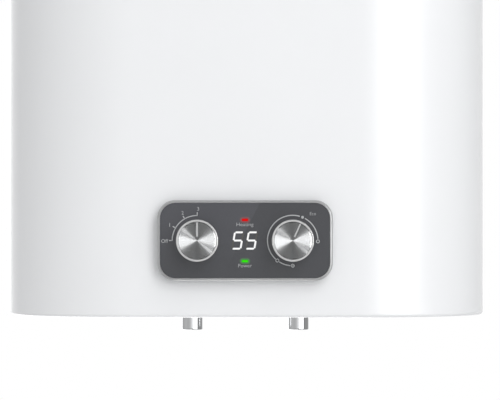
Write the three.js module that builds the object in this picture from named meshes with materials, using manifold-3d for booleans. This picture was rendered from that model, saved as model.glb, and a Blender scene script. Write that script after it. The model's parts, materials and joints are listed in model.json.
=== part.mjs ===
// Wall-hung electric tank water heater with two upright tanks side by side in one flat casing.
// Millimetres, +Z up, the front faces -Y and the wall is the plane y = 0.
// The origin is the middle of the hanger bracket's back face, where it meets the wall.
import * as THREE from "three";
import { mergeVertices } from "three/addons/utils/BufferGeometryUtils.js";
import Module from "manifold-3d";

const wasm = await Module();
wasm.setup();

// ---------- driving dimensions ----------

const fit = 0.3; // gap left between two pieces that touch
const casing = { width: 470, depth: 245, height: 900, wall: 1.2, edge: 3, lip: 10 };
const hanging = { wallGap: 22, drop: 150 }; // casing back to wall, bracket centre to casing top
const insulation = { side: 23.3, top: 28, betweenTanks: 20 };
const compartment = { height: 62 }; // room for the wiring below the tanks
const tank = { wall: 1.5, headRise: 28, neckRadius: 38, neckBore: 28, neckLength: 16 };
const flange = { thickness: 3, gasket: 2.5, nutWall: 6.5, nutLip: 3.2, nutMouth: 31, nutNotches: 6 };
const element = { tube: 8, legX: 17, legY: -8, height: 330, pin: 4, pinDrop: 12 };
const anode = { diameter: 14, length: 250, stud: 6, y: 18 };
const pocket = { diameter: 8, bore: 6, height: 210, y: -22 };
const nipple = { diameter: 20.9, bore: 15, drop: 17, angle: 33.6, chamfer: 0.8 };
const inlet = { above: 12, diffuserWall: 2.2, diffuserLength: 22 }; // above: past the tank's head
const pickup = { wall: 1.2, below: 2, gapAtTop: 14 }; // below: down into the hot nipple
const transfer = { diameter: 15, bore: 12, angle: -51, bend: 18, below: 18, above: 50 };
const caps = { thickness: 4, recess: 0.6, mouthGap: 0.6 };
const access = { gap: 1.4, lap: 8, cover: 2.2, tab: 8 }; // lap: cover over the cap's opening
const collar = { flange: 13, flangeDrop: 1.5, sleeve: 1.6 };
const cable = { bore: 9, sleeve: 2.5, flange: 3.5, flangeDrop: 1.6, y: 66 };
const panel = { width: 168, height: 77.4, corner: 18, proud: 12, centre: 74, rim: 2.5, edge: 1.8 };
const plate = { thickness: 2.5, recess: 0.4 };
const cover = { overlap: 9 }; // how far the panel reaches past the opening behind it
const housing = { depth: 22, wall: 2 };
const display = { width: 34, height: 25, board: 1.6, boardInset: 1.5 };
const lamp = { width: 6.6, height: 2.8, offset: 19.7 };
const knob = { diameter: 40, length: 17, ring: 1.9, wall: 2.5, spacing: 91.2, gap: 0.8, edge: 1.2 };
const knobFace = { thickness: 1.4, sink: 0.25 };
const pointer = { width: 1.7, from: 3.8, rimGap: 0.4, slot: 1, proud: 0.05 };
const shaft = { diameter: 6, bush: 9, boss: 11, insideKnob: 12 };
const selector = { diameter: 28, length: 15 }; // rotary power switch behind the left knob
const dialPot = { diameter: 22, length: 10 }; // temperature potentiometer behind the right knob
const temperatureAngle = 24; // degrees clockwise from the top at which the right pointer rests
const board = { width: 84, depth: 56, thickness: 1.6, y: -45, level: 14, post: 3, postInset: 6 };
const relay = { width: 12.7, depth: 29, height: 15.7, x: 18 };
const terminal = { width: 34, depth: 16, height: 14, y: 16, hole: 3.2, holes: 3 };
const cutout = { diameter: 17, length: 11, y: 2, button: 4, buttonProud: 2.5, travel: 1.5 };
const bracket = { sheet: 2.5, web: 46, flange: 15, end: 24.5, keyhole: 16, slot: 9, slotRise: 16 };
const hook = { spacing: 160 }; // between the two wall screws
const spacer = { web: 30, flange: 10, height: 60 }; // height: its centre above the casing bottom
const bolt = { shank: 6, head: 11, headHeight: 4, length: 14, spacing: 90 };
const screw = { shank: 3.5, head: 7, headHeight: 1.8, length: 9 };
const lead = { diameter: 3 };
const ribbon = { width: 14, thickness: 1.2 };

// ---------- sizes that follow from them ----------

// Where a port sits in the right tank, turned so many degrees back from the line between the tanks.
function portPlace(degrees) {
  const a = THREE.MathUtils.degToRad(degrees);
  return { x: tankX - portDistance * Math.cos(a), y: portDistance * Math.sin(a) };
}

const innerSide = casing.wall + insulation.side;
const tankRadius = Math.min(
  casing.depth / 2 - innerSide,
  (casing.width / 2 - innerSide - insulation.betweenTanks / 2) / 2,
);
const tankX = casing.width / 2 - innerSide - tankRadius;
const tankBottom = compartment.height;
const tankTop = casing.height - insulation.top;
const foamBottom = tankBottom + tank.headRise + 2;
const neckEnd = tankBottom - tank.neckLength;
const gasketTop = neckEnd - fit;
const plateTop = gasketTop - flange.gasket - fit;
const plateUnder = plateTop - flange.thickness;
const nutRadius = tank.neckRadius + fit + flange.nutWall;
const portDistance = (nutRadius + tankRadius) / 2; // ports sit between the ring nut and the shell
const nipplePlace = portPlace(nipple.angle);
const transferPlace = portPlace(transfer.angle);
const inletTop = tankBottom + tank.headRise + inlet.above;
const coverRadius = portDistance - collar.flange - access.gap;
const accessRadius = coverRadius - access.lap;
const screwRadius = coverRadius - access.lap / 2;
const opening = {
  width: panel.width - 2 * cover.overlap,
  height: panel.height - 2 * cover.overlap,
  corner: panel.corner - cover.overlap,
};
const capInside = casing.wall + fit + caps.thickness; // inner face of either cap, from its end
const frontLevel = panel.proud - plate.recess; // front of the dark plate, out from the casing front
const plateBack = frontLevel - plate.thickness;
const boardTop = -display.boardInset + display.board; // front of the display board
const knobBack = frontLevel + knob.gap;
const knobFront = knobBack + knob.length;
const knobX = knob.spacing / 2;
const faceBack = knobFront - knobFace.sink - knobFace.thickness;

// ---------- materials ----------

function finish(color, roughness, metalness = 0) {
  return new THREE.MeshStandardMaterial({ color, roughness, metalness });
}

const materials = {
  whitePaint: finish(0xf2f3f4, 0.3),
  whitePlastic: finish(0xeeefef, 0.45),
  foam: finish(0xe6d9a8, 0.95),
  stainless: finish(0xb9bcbe, 0.35, 1),
  zincSteel: finish(0xa9adb0, 0.45, 1),
  rubber: finish(0x202224, 0.8),
  copper: finish(0xb06a44, 0.35, 1),
  magnesium: finish(0x8f9293, 0.6, 1),
  chrome: finish(0xd7d9db, 0.12, 1),
  bluePlastic: finish(0x2f62b5, 0.5),
  redPlastic: finish(0xc0302a, 0.5),
  greyPlastic: finish(0x6f7274, 0.6),
  satinSilver: finish(0xbfc2c4, 0.3, 1),
  smokedPlate: finish(0x4e5054, 0.15),
  spunMetal: finish(0xc4c7c9, 0.25, 1),
  pointerWhite: finish(0xe4e6e7, 0.35),
  circuitBoard: finish(0x2f6b46, 0.6),
  blackPlastic: finish(0x232527, 0.5),
  redLamp: finish(0xf01410, 0.3),
  greenLamp: finish(0x3cf010, 0.3),
};

// ---------- shapes ----------

const quarter = Math.PI / 2;

// A plan with straight front and back and half-round ends.
function stadium(width, depth) {
  const r = depth / 2;
  const c = width / 2 - r;
  const s = new THREE.Shape();
  s.moveTo(-c, -r);
  s.lineTo(c, -r);
  s.absarc(c, 0, r, -quarter, quarter, false);
  s.lineTo(-c, r);
  s.absarc(-c, 0, r, quarter, 3 * quarter, false);
  return s;
}

function roundedRectangle(width, height, radius, x = 0, y = 0) {
  const a = width / 2 - radius;
  const b = height / 2 - radius;
  const s = new THREE.Shape();
  s.moveTo(x - a, y - b - radius);
  s.absarc(x + a, y - b, radius, -quarter, 0, false);
  s.absarc(x + a, y + b, radius, 0, quarter, false);
  s.absarc(x - a, y + b, radius, quarter, 2 * quarter, false);
  s.absarc(x - a, y - b, radius, 2 * quarter, 3 * quarter, false);
  return s;
}

// A shape raised from z = low to z = high, with both edges rounded by edge.
function prism(shape, low, high, edge = 0, curveSegments = 3) {
  const rounded = edge > 0;
  const made = new THREE.ExtrudeGeometry(shape, {
    depth: high - low - 2 * edge,
    curveSegments,
    steps: 1,
    bevelEnabled: rounded,
    bevelThickness: edge,
    bevelSize: edge,
    bevelOffset: -edge,
    bevelSegments: 2,
  });
  return made.translate(0, 0, low + edge);
}

function block(width, depth, height, x, y, low) {
  return new THREE.BoxGeometry(width, depth, height).translate(x, y, low + height / 2);
}

function rod(radius, low, high, x = 0, y = 0, sides = 16) {
  const made = new THREE.CylinderGeometry(radius, radius, high - low, sides);
  return made.rotateX(quarter).translate(x, y, (low + high) / 2);
}

// A profile of [radius, height] pairs turned about an upright axis.
function turned(profile, x = 0, y = 0, sides = 24) {
  const made = new THREE.LatheGeometry(
    profile.map(([r, h]) => new THREE.Vector2(r, h)),
    sides,
  );
  return made.rotateX(quarter).translate(x, y, 0);
}

function ring(outer, inner, low, high, x = 0, y = 0, sides = 24) {
  const profile = [
    [inner, low],
    [outer, low],
    [outer, high],
    [inner, high],
    [inner, low],
  ];
  return turned(profile, x, y, sides);
}

// A round section of so many sides drawn along a path.
function drawn(path, radius, steps, sides = 8) {
  const section = new THREE.Shape(
    Array.from({ length: sides }, (_, i) => {
      const a = (2 * Math.PI * i) / sides;
      return new THREE.Vector2(radius * Math.cos(a), radius * Math.sin(a));
    }),
  );
  return new THREE.ExtrudeGeometry(section, { extrudePath: path, steps });
}

// ---------- joining and cutting ----------

function solidOf(geometry) {
  const bare = new THREE.BufferGeometry();
  bare.setAttribute("position", geometry.getAttribute("position"));
  bare.setIndex(geometry.index);
  const merged = mergeVertices(bare, 1e-4);
  const vertProperties = new Float32Array(merged.getAttribute("position").array);
  const triVerts = new Uint32Array(merged.index.array);
  const made = new wasm.Manifold(new wasm.Mesh({ numProp: 3, vertProperties, triVerts }));
  if (made.volume() > 0) return made;
  return new wasm.Manifold(new wasm.Mesh({ numProp: 3, vertProperties, triVerts: triVerts.reverse() }));
}

function geometryOf(solid) {
  const mesh = solid.getMesh();
  const made = new THREE.BufferGeometry();
  made.setAttribute("position", new THREE.BufferAttribute(mesh.vertProperties, mesh.numProp));
  made.setIndex(new THREE.BufferAttribute(mesh.triVerts, 1));
  made.computeVertexNormals();
  return made;
}

function join(first, ...more) {
  return geometryOf(more.reduce((whole, g) => whole.add(solidOf(g)), solidOf(first)));
}

function cut(first, ...tools) {
  return geometryOf(tools.reduce((whole, g) => whole.subtract(solidOf(g)), solidOf(first)));
}

function piece(parent, name, geometry, material) {
  const made = new THREE.Mesh(geometryOf(solidOf(geometry)), material);
  made.name = name;
  parent.add(made);
  return made;
}

// ---------- frames ----------

const heater = new THREE.Group();

// The casing's own frame: its middle in plan, z from the casing's bottom edge.
const body = new THREE.Group();
body.position.set(0, -(hanging.wallGap + casing.depth / 2), hanging.drop - casing.height);
heater.add(body);

// The control panel's frame: x right, y up, z out from the casing's front.
const front = new THREE.Group();
front.position.set(0, -casing.depth / 2, panel.centre);
front.rotation.x = quarter;
body.add(front);

const sides = [
  { side: "left", sign: -1 },
  { side: "right", sign: 1 },
];

// ---------- casing ----------

const boltPlaces = [-1, 1].map((sign) => ({ x: (sign * bolt.spacing) / 2 }));
const boltLevel = casing.height - hanging.drop + bracket.web / 2 + bracket.flange / 2;

// A rod along y through the casing's back.
function backRod(radius, from, to, x, level, segments = 12) {
  return rod(radius, 0, to - from, 0, 0, segments).rotateX(-quarter).translate(x, from, level);
}

function casingInside(inset, low, high, edge = 0) {
  const plan = stadium(casing.width - 2 * inset, casing.depth - 2 * inset);
  return prism(plan, low, high, edge, 12);
}

function jacket() {
  const outside = casingInside(0, 0, casing.height, casing.edge);
  const hollow = casingInside(casing.wall, casing.wall, casing.height - casing.wall);
  const mouth = casingInside(casing.lip, -1, casing.height + 1);
  const outline = roundedRectangle(opening.width, opening.height, opening.corner);
  const window = prism(outline, -20, 5).rotateX(quarter);
  window.translate(0, -casing.depth / 2, panel.centre);
  const back = casing.depth / 2;
  const boltHoles = boltPlaces.map(({ x }) =>
    backRod(bolt.shank / 2 + fit, back - 5, back + 5, x, boltLevel),
  );
  return cut(outside, hollow, mouth, window, ...boltHoles);
}

// A cap lies inside the casing's lip, and its middle fills the mouth almost flush.
function cap() {
  const seat = casingInside(casing.edge + fit, casing.wall + fit, capInside);
  const middle = casingInside(casing.lip + caps.mouthGap, caps.recess, capInside);
  return join(seat, middle);
}

function topCap() {
  return cap().rotateX(2 * quarter).translate(0, 0, casing.height);
}

function boardPosts() {
  const x = board.width / 2 - board.postInset;
  const y = board.depth / 2 - board.postInset;
  const corners = [-1, 1].flatMap((a) => [-1, 1].map((b) => [a * x, board.y + b * y]));
  return corners.map(([px, py]) =>
    rod(board.post, capInside - 1, board.level - fit, px, py, 10),
  );
}

function bottomCap() {
  const solid = join(cap(), ...boardPosts());
  const cuts = sides.flatMap(({ sign }) => [
    rod(accessRadius, -1, capInside + 1, sign * tankX, 0, 24),
    rod(coverRadius + fit, -1, caps.recess + access.cover + fit, sign * tankX, 0, 24),
    rod(screw.shank / 2 + fit, -1, capInside + 1, sign * tankX, -screwRadius, 10),
    rod(collar.flange - collar.sleeve, -1, capInside + 1, sign * nipplePlace.x, nipplePlace.y, 20),
  ]);
  const cableHole = rod(cable.bore / 2 + cable.sleeve + fit, -1, capInside + 1, 0, cable.y, 16);
  return cut(solid, ...cuts, cableHole);
}

// A round cover with a tab at the back that hooks over the cap, and one screw at the front.
function accessCover(sign) {
  const x = sign * tankX;
  const top = caps.recess + access.cover;
  const disc = rod(coverRadius, caps.recess, top, x, 0, 24);
  const hub = ring(accessRadius - fit, accessRadius - 3, top - 0.5, capInside - 1, x, 0, 24);
  const screwHole = rod(screw.shank / 2 + fit, -1, top + 1, x, -screwRadius, 10);
  const tabRoot = accessRadius - 3;
  const riser = block(access.tab, 3, capInside - top + 2.4, x, tabRoot - 0.5, top - 0.5);
  const hookOver = block(access.tab, 6.5, 1.6, x, tabRoot + 1.2, capInside + fit);
  return cut(join(disc, hub, riser, hookOver), screwHole);
}

function accessScrew(sign) {
  const x = sign * tankX;
  const y = -screwRadius;
  const headTop = caps.recess - fit;
  const head = rod(screw.head / 2, headTop - screw.headHeight, headTop, x, y, 16);
  const shank = rod(screw.shank / 2, headTop - 0.5, headTop + screw.length, x, y, 10);
  const slot = block(screw.head * 0.8, 1, 0.9, x, y, headTop - screw.headHeight - 0.1);
  const crossSlot = block(1, screw.head * 0.8, 0.9, x, y, headTop - screw.headHeight - 0.1);
  return cut(join(head, shank), slot, crossSlot);
}

// Foam fills the casing round the tanks, and leaves room for the control housing and bolt ends.
function insulationFoam() {
  const outside = casingInside(casing.wall + fit, foamBottom, casing.height - capInside - fit);
  const back = casing.depth / 2;
  const tanks = sides.map(({ sign }) => turned(tankOutline(fit), sign * tankX, 0, 24));
  const housingRoom = block(
    opening.width + 2 * fit,
    housing.depth + casing.wall + 1,
    opening.height + 2 * fit,
    0,
    -back + (housing.depth + casing.wall) / 2,
    panel.centre - opening.height / 2 - fit,
  );
  const boltRooms = boltPlaces.map(({ x }) =>
    backRod(bolt.shank / 2 + fit, back - bolt.length - fit, back + 5, x, boltLevel),
  );
  return cut(outside, ...tanks, housingRoom, ...boltRooms);
}

// ---------- tanks ----------

// Half of an elliptical head, from the axis out to the shell. Inward is +1 for the bottom one.
function headProfile(radius, level, inward, points = 5) {
  return Array.from({ length: points + 1 }, (_, i) => {
    const a = (quarter * i) / points;
    return [radius * Math.sin(a), level + inward * tank.headRise * (1 - Math.cos(a))];
  });
}

// The outside of a tank without its neck, grown by so much on every side.
function tankOutline(grow = 0) {
  const bottom = headProfile(tankRadius + grow, tankBottom - grow, 1);
  const top = headProfile(tankRadius + grow, tankTop + grow, -1).reverse();
  return [...bottom, ...top];
}

function nippleHole(sign, level = tankBottom) {
  const { x, y } = nipplePlace;
  return rod(nipple.diameter / 2 + fit, level - 30, level + 60, sign * x, y, 20);
}

function transferHole(sign) {
  const low = tankBottom - 10;
  const high = tankBottom + tank.headRise;
  return rod(transfer.diameter / 2 + fit, low, high, sign * transferPlace.x, transferPlace.y, 12);
}

function tankShell(sign) {
  const x = sign * tankX;
  const neck = rod(tank.neckRadius, neckEnd, tankBottom + 6, x, 0, 24);
  const outside = join(turned(tankOutline(), x, 0, 24), neck);
  const bore = rod(tank.neckBore, neckEnd - 1, tankBottom + 8, x, 0, 24);
  const inside = turned(tankOutline(-tank.wall), x, 0, 24);
  return cut(outside, inside, bore, nippleHole(sign), transferHole(sign));
}

// Everything that the flange plate carries passes through it with the same gap.
function flangePlate(sign) {
  const x = sign * tankX;
  const disc = rod(tank.neckRadius - 1, plateUnder, plateTop, x, 0, 24);
  const legs = [-1, 1].map((a) =>
    rod(element.tube / 2 + fit, 0, tankBottom, x + a * element.legX, element.legY, 12),
  );
  const stud = rod(anode.stud / 2 + fit, 0, tankBottom, x, anode.y, 12);
  const pocketHole = rod(pocket.diameter / 2 + fit, 0, tankBottom, x, pocket.y, 12);
  return cut(disc, ...legs, stud, pocketHole);
}

function flangeGasket(sign) {
  const low = gasketTop - flange.gasket;
  return ring(tank.neckRadius - 0.5, tank.neckBore + 2, low, gasketTop, sign * tankX, 0, 24);
}

// The ring nut runs on the neck and holds the plate by its lip. Notches take a hook spanner.
function ringNut(sign) {
  const x = sign * tankX;
  const lipTop = plateUnder - fit;
  const low = lipTop - flange.nutLip;
  const high = neckEnd + tank.neckLength * 0.7;
  const profile = [
    [flange.nutMouth, low],
    [nutRadius, low],
    [nutRadius, high],
    [tank.neckRadius + fit, high],
    [tank.neckRadius + fit, lipTop],
    [flange.nutMouth, lipTop],
    [flange.nutMouth, low],
  ];
  const notches = Array.from({ length: flange.nutNotches }, (_, i) => {
    const notch = block(8, 5, high - low + 2, 0, 0, low - 1).translate(0, nutRadius, 0);
    return notch.rotateZ((2 * Math.PI * i) / flange.nutNotches).translate(x, 0, 0);
  });
  return cut(turned(profile, x, 0, 24), ...notches);
}

// A hairpin tube with two terminal pins below the plate.
function heatingElement(sign) {
  const x = sign * tankX;
  const { legX, legY, tube, height, pin, pinDrop } = element;
  const radius = tube / 2;
  const bendLevel = plateUnder + height - legX;
  const legEnd = plateUnder - 3;
  const legs = [-1, 1].map((a) => rod(radius, legEnd, bendLevel + 0.5, x + a * legX, legY, 10));
  const pins = [-1, 1].map((a) =>
    rod(pin / 2, plateUnder - pinDrop, legEnd + 1, x + a * legX, legY, 8),
  );
  const bend = new THREE.CatmullRomCurve3(
    Array.from({ length: 9 }, (_, i) => {
      const a = (Math.PI * i) / 8;
      return new THREE.Vector3(x - legX * Math.cos(a), legY, bendLevel + legX * Math.sin(a));
    }),
  );
  return join(drawn(bend, radius, 8, 10), ...legs, ...pins);
}

function anodeRod(sign) {
  const x = sign * tankX;
  const start = plateTop + 6;
  const metal = rod(anode.diameter / 2, start, start + anode.length, x, anode.y, 14);
  const stud = rod(anode.stud / 2, plateUnder - 9, start + 1, x, anode.y, 10);
  return join(metal, stud);
}

function sensorPocket(sign) {
  const x = sign * tankX;
  const low = plateUnder - 2;
  const high = plateUnder + pocket.height;
  const tube = rod(pocket.diameter / 2, low, high, x, pocket.y, 12);
  return cut(tube, rod(pocket.bore / 2, low - 1, high - 2, x, pocket.y, 12));
}

// ---------- water connections ----------

// A plain connection tube with its mouth chamfered.
function nippleTube(sign, top) {
  const outer = nipple.diameter / 2;
  const bore = nipple.bore / 2;
  const low = -nipple.drop;
  const profile = [
    [bore, low],
    [outer - nipple.chamfer, low],
    [outer, low + nipple.chamfer],
    [outer, top],
    [bore, top],
    [bore, low],
  ];
  return turned(profile, sign * nipplePlace.x, nipplePlace.y, 24);
}

// A cap over the inlet's end that turns the cold water sideways.
function inletDiffuser() {
  const { diffuserWall, diffuserLength } = inlet;
  const radius = nipple.diameter / 2 + fit + diffuserWall;
  const top = inletTop + diffuserLength / 2;
  const low = top - diffuserLength;
  const x = -nipplePlace.x;
  const y = nipplePlace.y;
  const shell = rod(radius, low, top, x, y, 20);
  const seat = rod(nipple.diameter / 2 + fit, low - 1, inletTop + fit, x, y, 20);
  const room = rod(nipple.bore / 2, inletTop, top - diffuserWall, x, y, 20);
  const windows = [0, 1].map((i) =>
    block(3 * radius, 7, top - diffuserWall - inletTop - 1.5, 0, 0, inletTop + 1)
      .rotateZ(i * quarter)
      .translate(x, y, 0),
  );
  return cut(shell, seat, room, ...windows);
}

function hotPickupTube() {
  const outer = nipple.bore / 2 - fit;
  const top = tankTop - tank.headRise - pickup.gapAtTop;
  const { x, y } = nipplePlace;
  return ring(outer, outer - pickup.wall, tankBottom - pickup.below, top, x, y, 14);
}

// Carries hot water from the top of the left tank to the bottom of the right one.
function transferPipe() {
  const { bend } = transfer;
  const level = tankBottom - transfer.below;
  const rise = tankBottom + transfer.above;
  const { x, y } = transferPlace;
  const top = tankTop - tank.headRise - pickup.gapAtTop;
  const corner = (sign) =>
    new THREE.CatmullRomCurve3(
      Array.from({ length: 5 }, (_, i) => {
        const a = (quarter * i) / 4;
        const along = x - bend * (1 - Math.cos(a));
        return new THREE.Vector3(sign * along, y, level + bend * (1 - Math.sin(a)));
      }),
    );
  const tube = (radius, past) => {
    const run = rod(radius, bend - x - 1, x - bend + 1, 0, 0, 12);
    return join(
      run.rotateY(quarter).translate(0, y, level),
      drawn(corner(-1), radius, 5, 12),
      drawn(corner(1), radius, 5, 12),
      rod(radius, level + bend - 1, top + past, -x, y, 12),
      rod(radius, level + bend - 1, rise + past, x, y, 12),
    );
  };
  return cut(tube(transfer.diameter / 2, 0), tube(transfer.bore / 2, 1));
}

// A coloured collar round a nipple closes its hole in the bottom cap.
function nippleCollar(sign) {
  const inner = nipple.diameter / 2 + fit;
  const sleeve = collar.flange - collar.sleeve - fit;
  const profile = [
    [inner, -collar.flangeDrop],
    [collar.flange, -collar.flangeDrop],
    [collar.flange, caps.recess - fit],
    [sleeve, caps.recess - fit],
    [sleeve, capInside + 1],
    [inner, capInside + 1],
    [inner, -collar.flangeDrop],
  ];
  return turned(profile, sign * nipplePlace.x, nipplePlace.y, 24);
}

function cableGrommet() {
  const bore = cable.bore / 2;
  const sleeve = bore + cable.sleeve;
  const outer = sleeve + cable.flange;
  const profile = [
    [bore, -cable.flangeDrop],
    [outer, -cable.flangeDrop],
    [outer, caps.recess - fit],
    [sleeve, caps.recess - fit],
    [sleeve, capInside + fit],
    [outer, capInside + fit],
    [outer - 1, capInside + 2],
    [bore, capInside + 2],
    [bore, -cable.flangeDrop],
  ];
  return turned(profile, 0, cable.y, 20);
}

// ---------- control panel ----------

// The housing is a tray that fills the casing's opening, with a wider rim against the front.
function controlHousing() {
  const { width, height, corner } = opening;
  const { depth, wall } = housing;
  const rimTop = plateBack - fit;
  const rimInset = panel.rim + 2 * fit;
  const tray = roundedRectangle(width - 2 * fit, height - 2 * fit, corner - fit);
  const hollow = roundedRectangle(width - 2 * wall, height - 2 * wall, corner - wall);
  const rim = roundedRectangle(
    panel.width - 2 * rimInset,
    panel.height - 2 * rimInset,
    panel.corner - rimInset,
  );
  const slot = block(ribbon.width + 2, 10, ribbon.thickness + 2, 0, -height / 2, -depth + 4);
  const solid = join(prism(tray, -depth, 1), prism(rim, fit, rimTop));
  return cut(solid, prism(hollow, -depth + wall, rimTop + 1), slot);
}

function panelBezel() {
  const { width, height, corner, proud, rim, edge } = panel;
  const solid = prism(roundedRectangle(width, height, corner), fit - 2 * edge, proud, edge, 4);
  const behind = block(width + 2, height + 2, 20, 0, 0, fit - 20);
  const inside = roundedRectangle(width - 2 * rim, height - 2 * rim, corner - rim);
  return cut(solid, behind, prism(inside, -10, proud + 10, 0, 4));
}

function panelPlate() {
  const inset = panel.rim + fit;
  const outline = roundedRectangle(
    panel.width - 2 * inset,
    panel.height - 2 * inset,
    panel.corner - inset,
  );
  const shaftHoles = [-1, 1].map((a) => rod(shaft.bush / 2 + fit, 0, 30, a * knobX, 0, 16));
  const lampSlots = [-1, 1].map((a) => lampBar(a, 0, 30, fit));
  return cut(prism(outline, plateBack, frontLevel, 0, 4), ...shaftHoles, ...lampSlots);
}

function lampBar(sign, low, high, grow = 0) {
  const width = lamp.width + 2 * grow;
  const height = lamp.height + 2 * grow;
  const outline = roundedRectangle(width, height, height / 2 - 0.4, 0, sign * lamp.offset);
  return prism(outline, low, high, 0, 2);
}

function displayBoard() {
  const inset = 2 * (housing.wall + 1);
  const corner = opening.corner - housing.wall - 1;
  const outline = roundedRectangle(opening.width - inset, opening.height - inset, corner);
  const low = boardTop - display.board;
  const holes = [-1, 1].map((a) => rod(shaft.bush / 2 + fit, low - 1, boardTop + 1, a * knobX, 0));
  return cut(prism(outline, low, boardTop), ...holes);
}

function displayModule() {
  const low = boardTop + fit;
  return block(display.width, display.height, plateBack - fit - low, 0, 0, low);
}

// A switch or potentiometer body behind the display board, with the bush that guides its shaft.
function controlBody(sign, { diameter, length }) {
  const top = boardTop - display.board - fit;
  const can = rod(diameter / 2, top - length, top, sign * knobX, 0, 24);
  const bush = rod(shaft.bush / 2, top - 1, frontLevel - 1, sign * knobX, 0, 16);
  const bore = rod(shaft.diameter / 2 + fit, top - length + 2, frontLevel + 5, sign * knobX, 0, 16);
  return cut(join(can, bush), bore);
}

// Each knob is drawn about its own axis, and its group turns it to where it rests.
function knobShaft({ length }) {
  const low = boardTop - display.board - length + 3;
  return rod(shaft.diameter / 2, low, knobBack + shaft.insideKnob - fit, 0, 0, 16);
}

function knobShell() {
  const r = knob.diameter / 2;
  const profile = [
    [0, knobBack],
    [r - 0.6, knobBack],
    [r, knobBack + 1.5],
    [r, knobFront - knob.edge],
    [r - knob.edge * 0.3, knobFront - knob.edge * 0.3],
    [r - knob.edge, knobFront],
    [0, knobFront],
  ];
  const roof = faceBack - fit;
  const skirtRoom = ring(r - knob.wall, shaft.boss / 2, knobBack - 1, roof - knob.wall);
  const bore = rod(shaft.diameter / 2 + fit, knobBack - 1, knobBack + shaft.insideKnob, 0, 0, 16);
  const faceSeat = rod(r - knob.ring, roof, knobFront + 1, 0, 0, 32);
  return cut(turned(profile, 0, 0, 32), skirtRoom, bore, faceSeat);
}

function pointerBar(low, high, grow = 0) {
  const length = knob.diameter / 2 - knob.ring - pointer.rimGap - pointer.from;
  return block(
    pointer.width + 2 * grow,
    length + 2 * grow,
    high - low,
    0,
    pointer.from + length / 2,
    low,
  );
}

function knobDisc() {
  const top = faceBack + knobFace.thickness;
  const disc = rod(knob.diameter / 2 - knob.ring - fit, faceBack, top, 0, 0, 32);
  return cut(disc, pointerBar(top - pointer.slot, top + 1, fit));
}

function knobPointer() {
  const top = faceBack + knobFace.thickness;
  return pointerBar(top - pointer.slot + fit, top + pointer.proud);
}

function addKnob(name, sign, controlSize, restAngle) {
  const turnedGroup = new THREE.Group();
  turnedGroup.position.x = sign * knobX;
  turnedGroup.rotation.z = THREE.MathUtils.degToRad(-restAngle);
  front.add(turnedGroup);
  piece(turnedGroup, `${name}_knob_shaft`, knobShaft(controlSize), materials.zincSteel);
  piece(turnedGroup, `${name}_knob`, knobShell(), materials.chrome);
  piece(turnedGroup, `${name}_knob_face`, knobDisc(), materials.spunMetal);
  piece(turnedGroup, `${name}_knob_pointer`, knobPointer(), materials.pointerWhite);
}

// ---------- wiring compartment ----------

function mainBoard() {
  return block(board.width, board.depth, board.thickness, 0, board.y, board.level);
}

function relayCan(sign) {
  const low = board.level + board.thickness + fit;
  return block(relay.width, relay.depth, relay.height, sign * relay.x, board.y, low);
}

function terminalBlock() {
  const low = capInside + fit;
  const pitch = terminal.width / terminal.holes;
  const solid = block(terminal.width, terminal.depth, terminal.height, 0, terminal.y, low);
  const holes = Array.from({ length: terminal.holes }, (_, i) =>
    rod(terminal.hole / 2, -terminal.depth, terminal.depth, 0, 0, 8)
      .rotateX(quarter)
      .translate((i - (terminal.holes - 1) / 2) * pitch, terminal.y, low + terminal.height / 2),
  );
  return cut(solid, ...holes);
}

const cutoutTop = plateUnder - fit;
const buttonTop = cutoutTop - cutout.length + cutout.travel + 4;

function thermalCutout() {
  const can = rod(cutout.diameter / 2, cutoutTop - cutout.length, cutoutTop, -tankX, cutout.y, 16);
  const bore = rod(
    cutout.button / 2 + fit,
    cutoutTop - cutout.length - 1,
    buttonTop + cutout.travel + fit,
    -tankX,
    cutout.y,
    12,
  );
  return cut(can, bore);
}

function resetButton() {
  const low = cutoutTop - cutout.length - cutout.buttonProud;
  return rod(cutout.button / 2, low, buttonTop, -tankX, cutout.y, 12);
}

// A wire from the main board to one terminal pin of the element on its side.
function heaterLead(sign) {
  const pinX = tankX - element.legX;
  const end = plateUnder - element.pinDrop - 2 * fit;
  const low = board.level + board.thickness + fit + lead.diameter / 2;
  const boardEdge = board.width / 2;
  const route = [
    [boardEdge - 12, board.y, low],
    [boardEdge, board.y + 2, low + 1],
    [(boardEdge + pinX) / 2, board.y * 0.7, low],
    [pinX - 4, (board.y + element.legY) / 2, low],
    [pinX, element.legY, end - 4],
    [pinX, element.legY, end],
  ];
  const path = new THREE.CatmullRomCurve3(
    route.map(([x, y, z]) => new THREE.Vector3(sign * x, y, z)),
  );
  return drawn(path, lead.diameter / 2, 16, 6);
}

// A flat cable from the display board's housing down to the main board.
function displayCable() {
  const start = panel.centre - opening.height / 2 + 8;
  const y0 = -casing.depth / 2 + housing.depth - 4 - ribbon.thickness / 2 - 1;
  const y1 = board.y - board.depth / 2 + 6;
  const z1 = board.level + board.thickness + fit;
  const t = ribbon.thickness;
  const outline = new THREE.Shape();
  outline.moveTo(y0, start);
  outline.lineTo(y0, z1 + 8);
  outline.quadraticCurveTo(y0, z1, y0 + 8, z1);
  outline.lineTo(y1, z1);
  outline.lineTo(y1, z1 + t);
  outline.lineTo(y0 + 8, z1 + t);
  outline.quadraticCurveTo(y0 + t, z1 + t, y0 + t, z1 + 8);
  outline.lineTo(y0 + t, start);
  outline.closePath();
  const strip = prism(outline, -ribbon.width / 2, ribbon.width / 2);
  return strip.rotateX(quarter).rotateZ(quarter);
}

// ---------- wall fixing ----------

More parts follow.
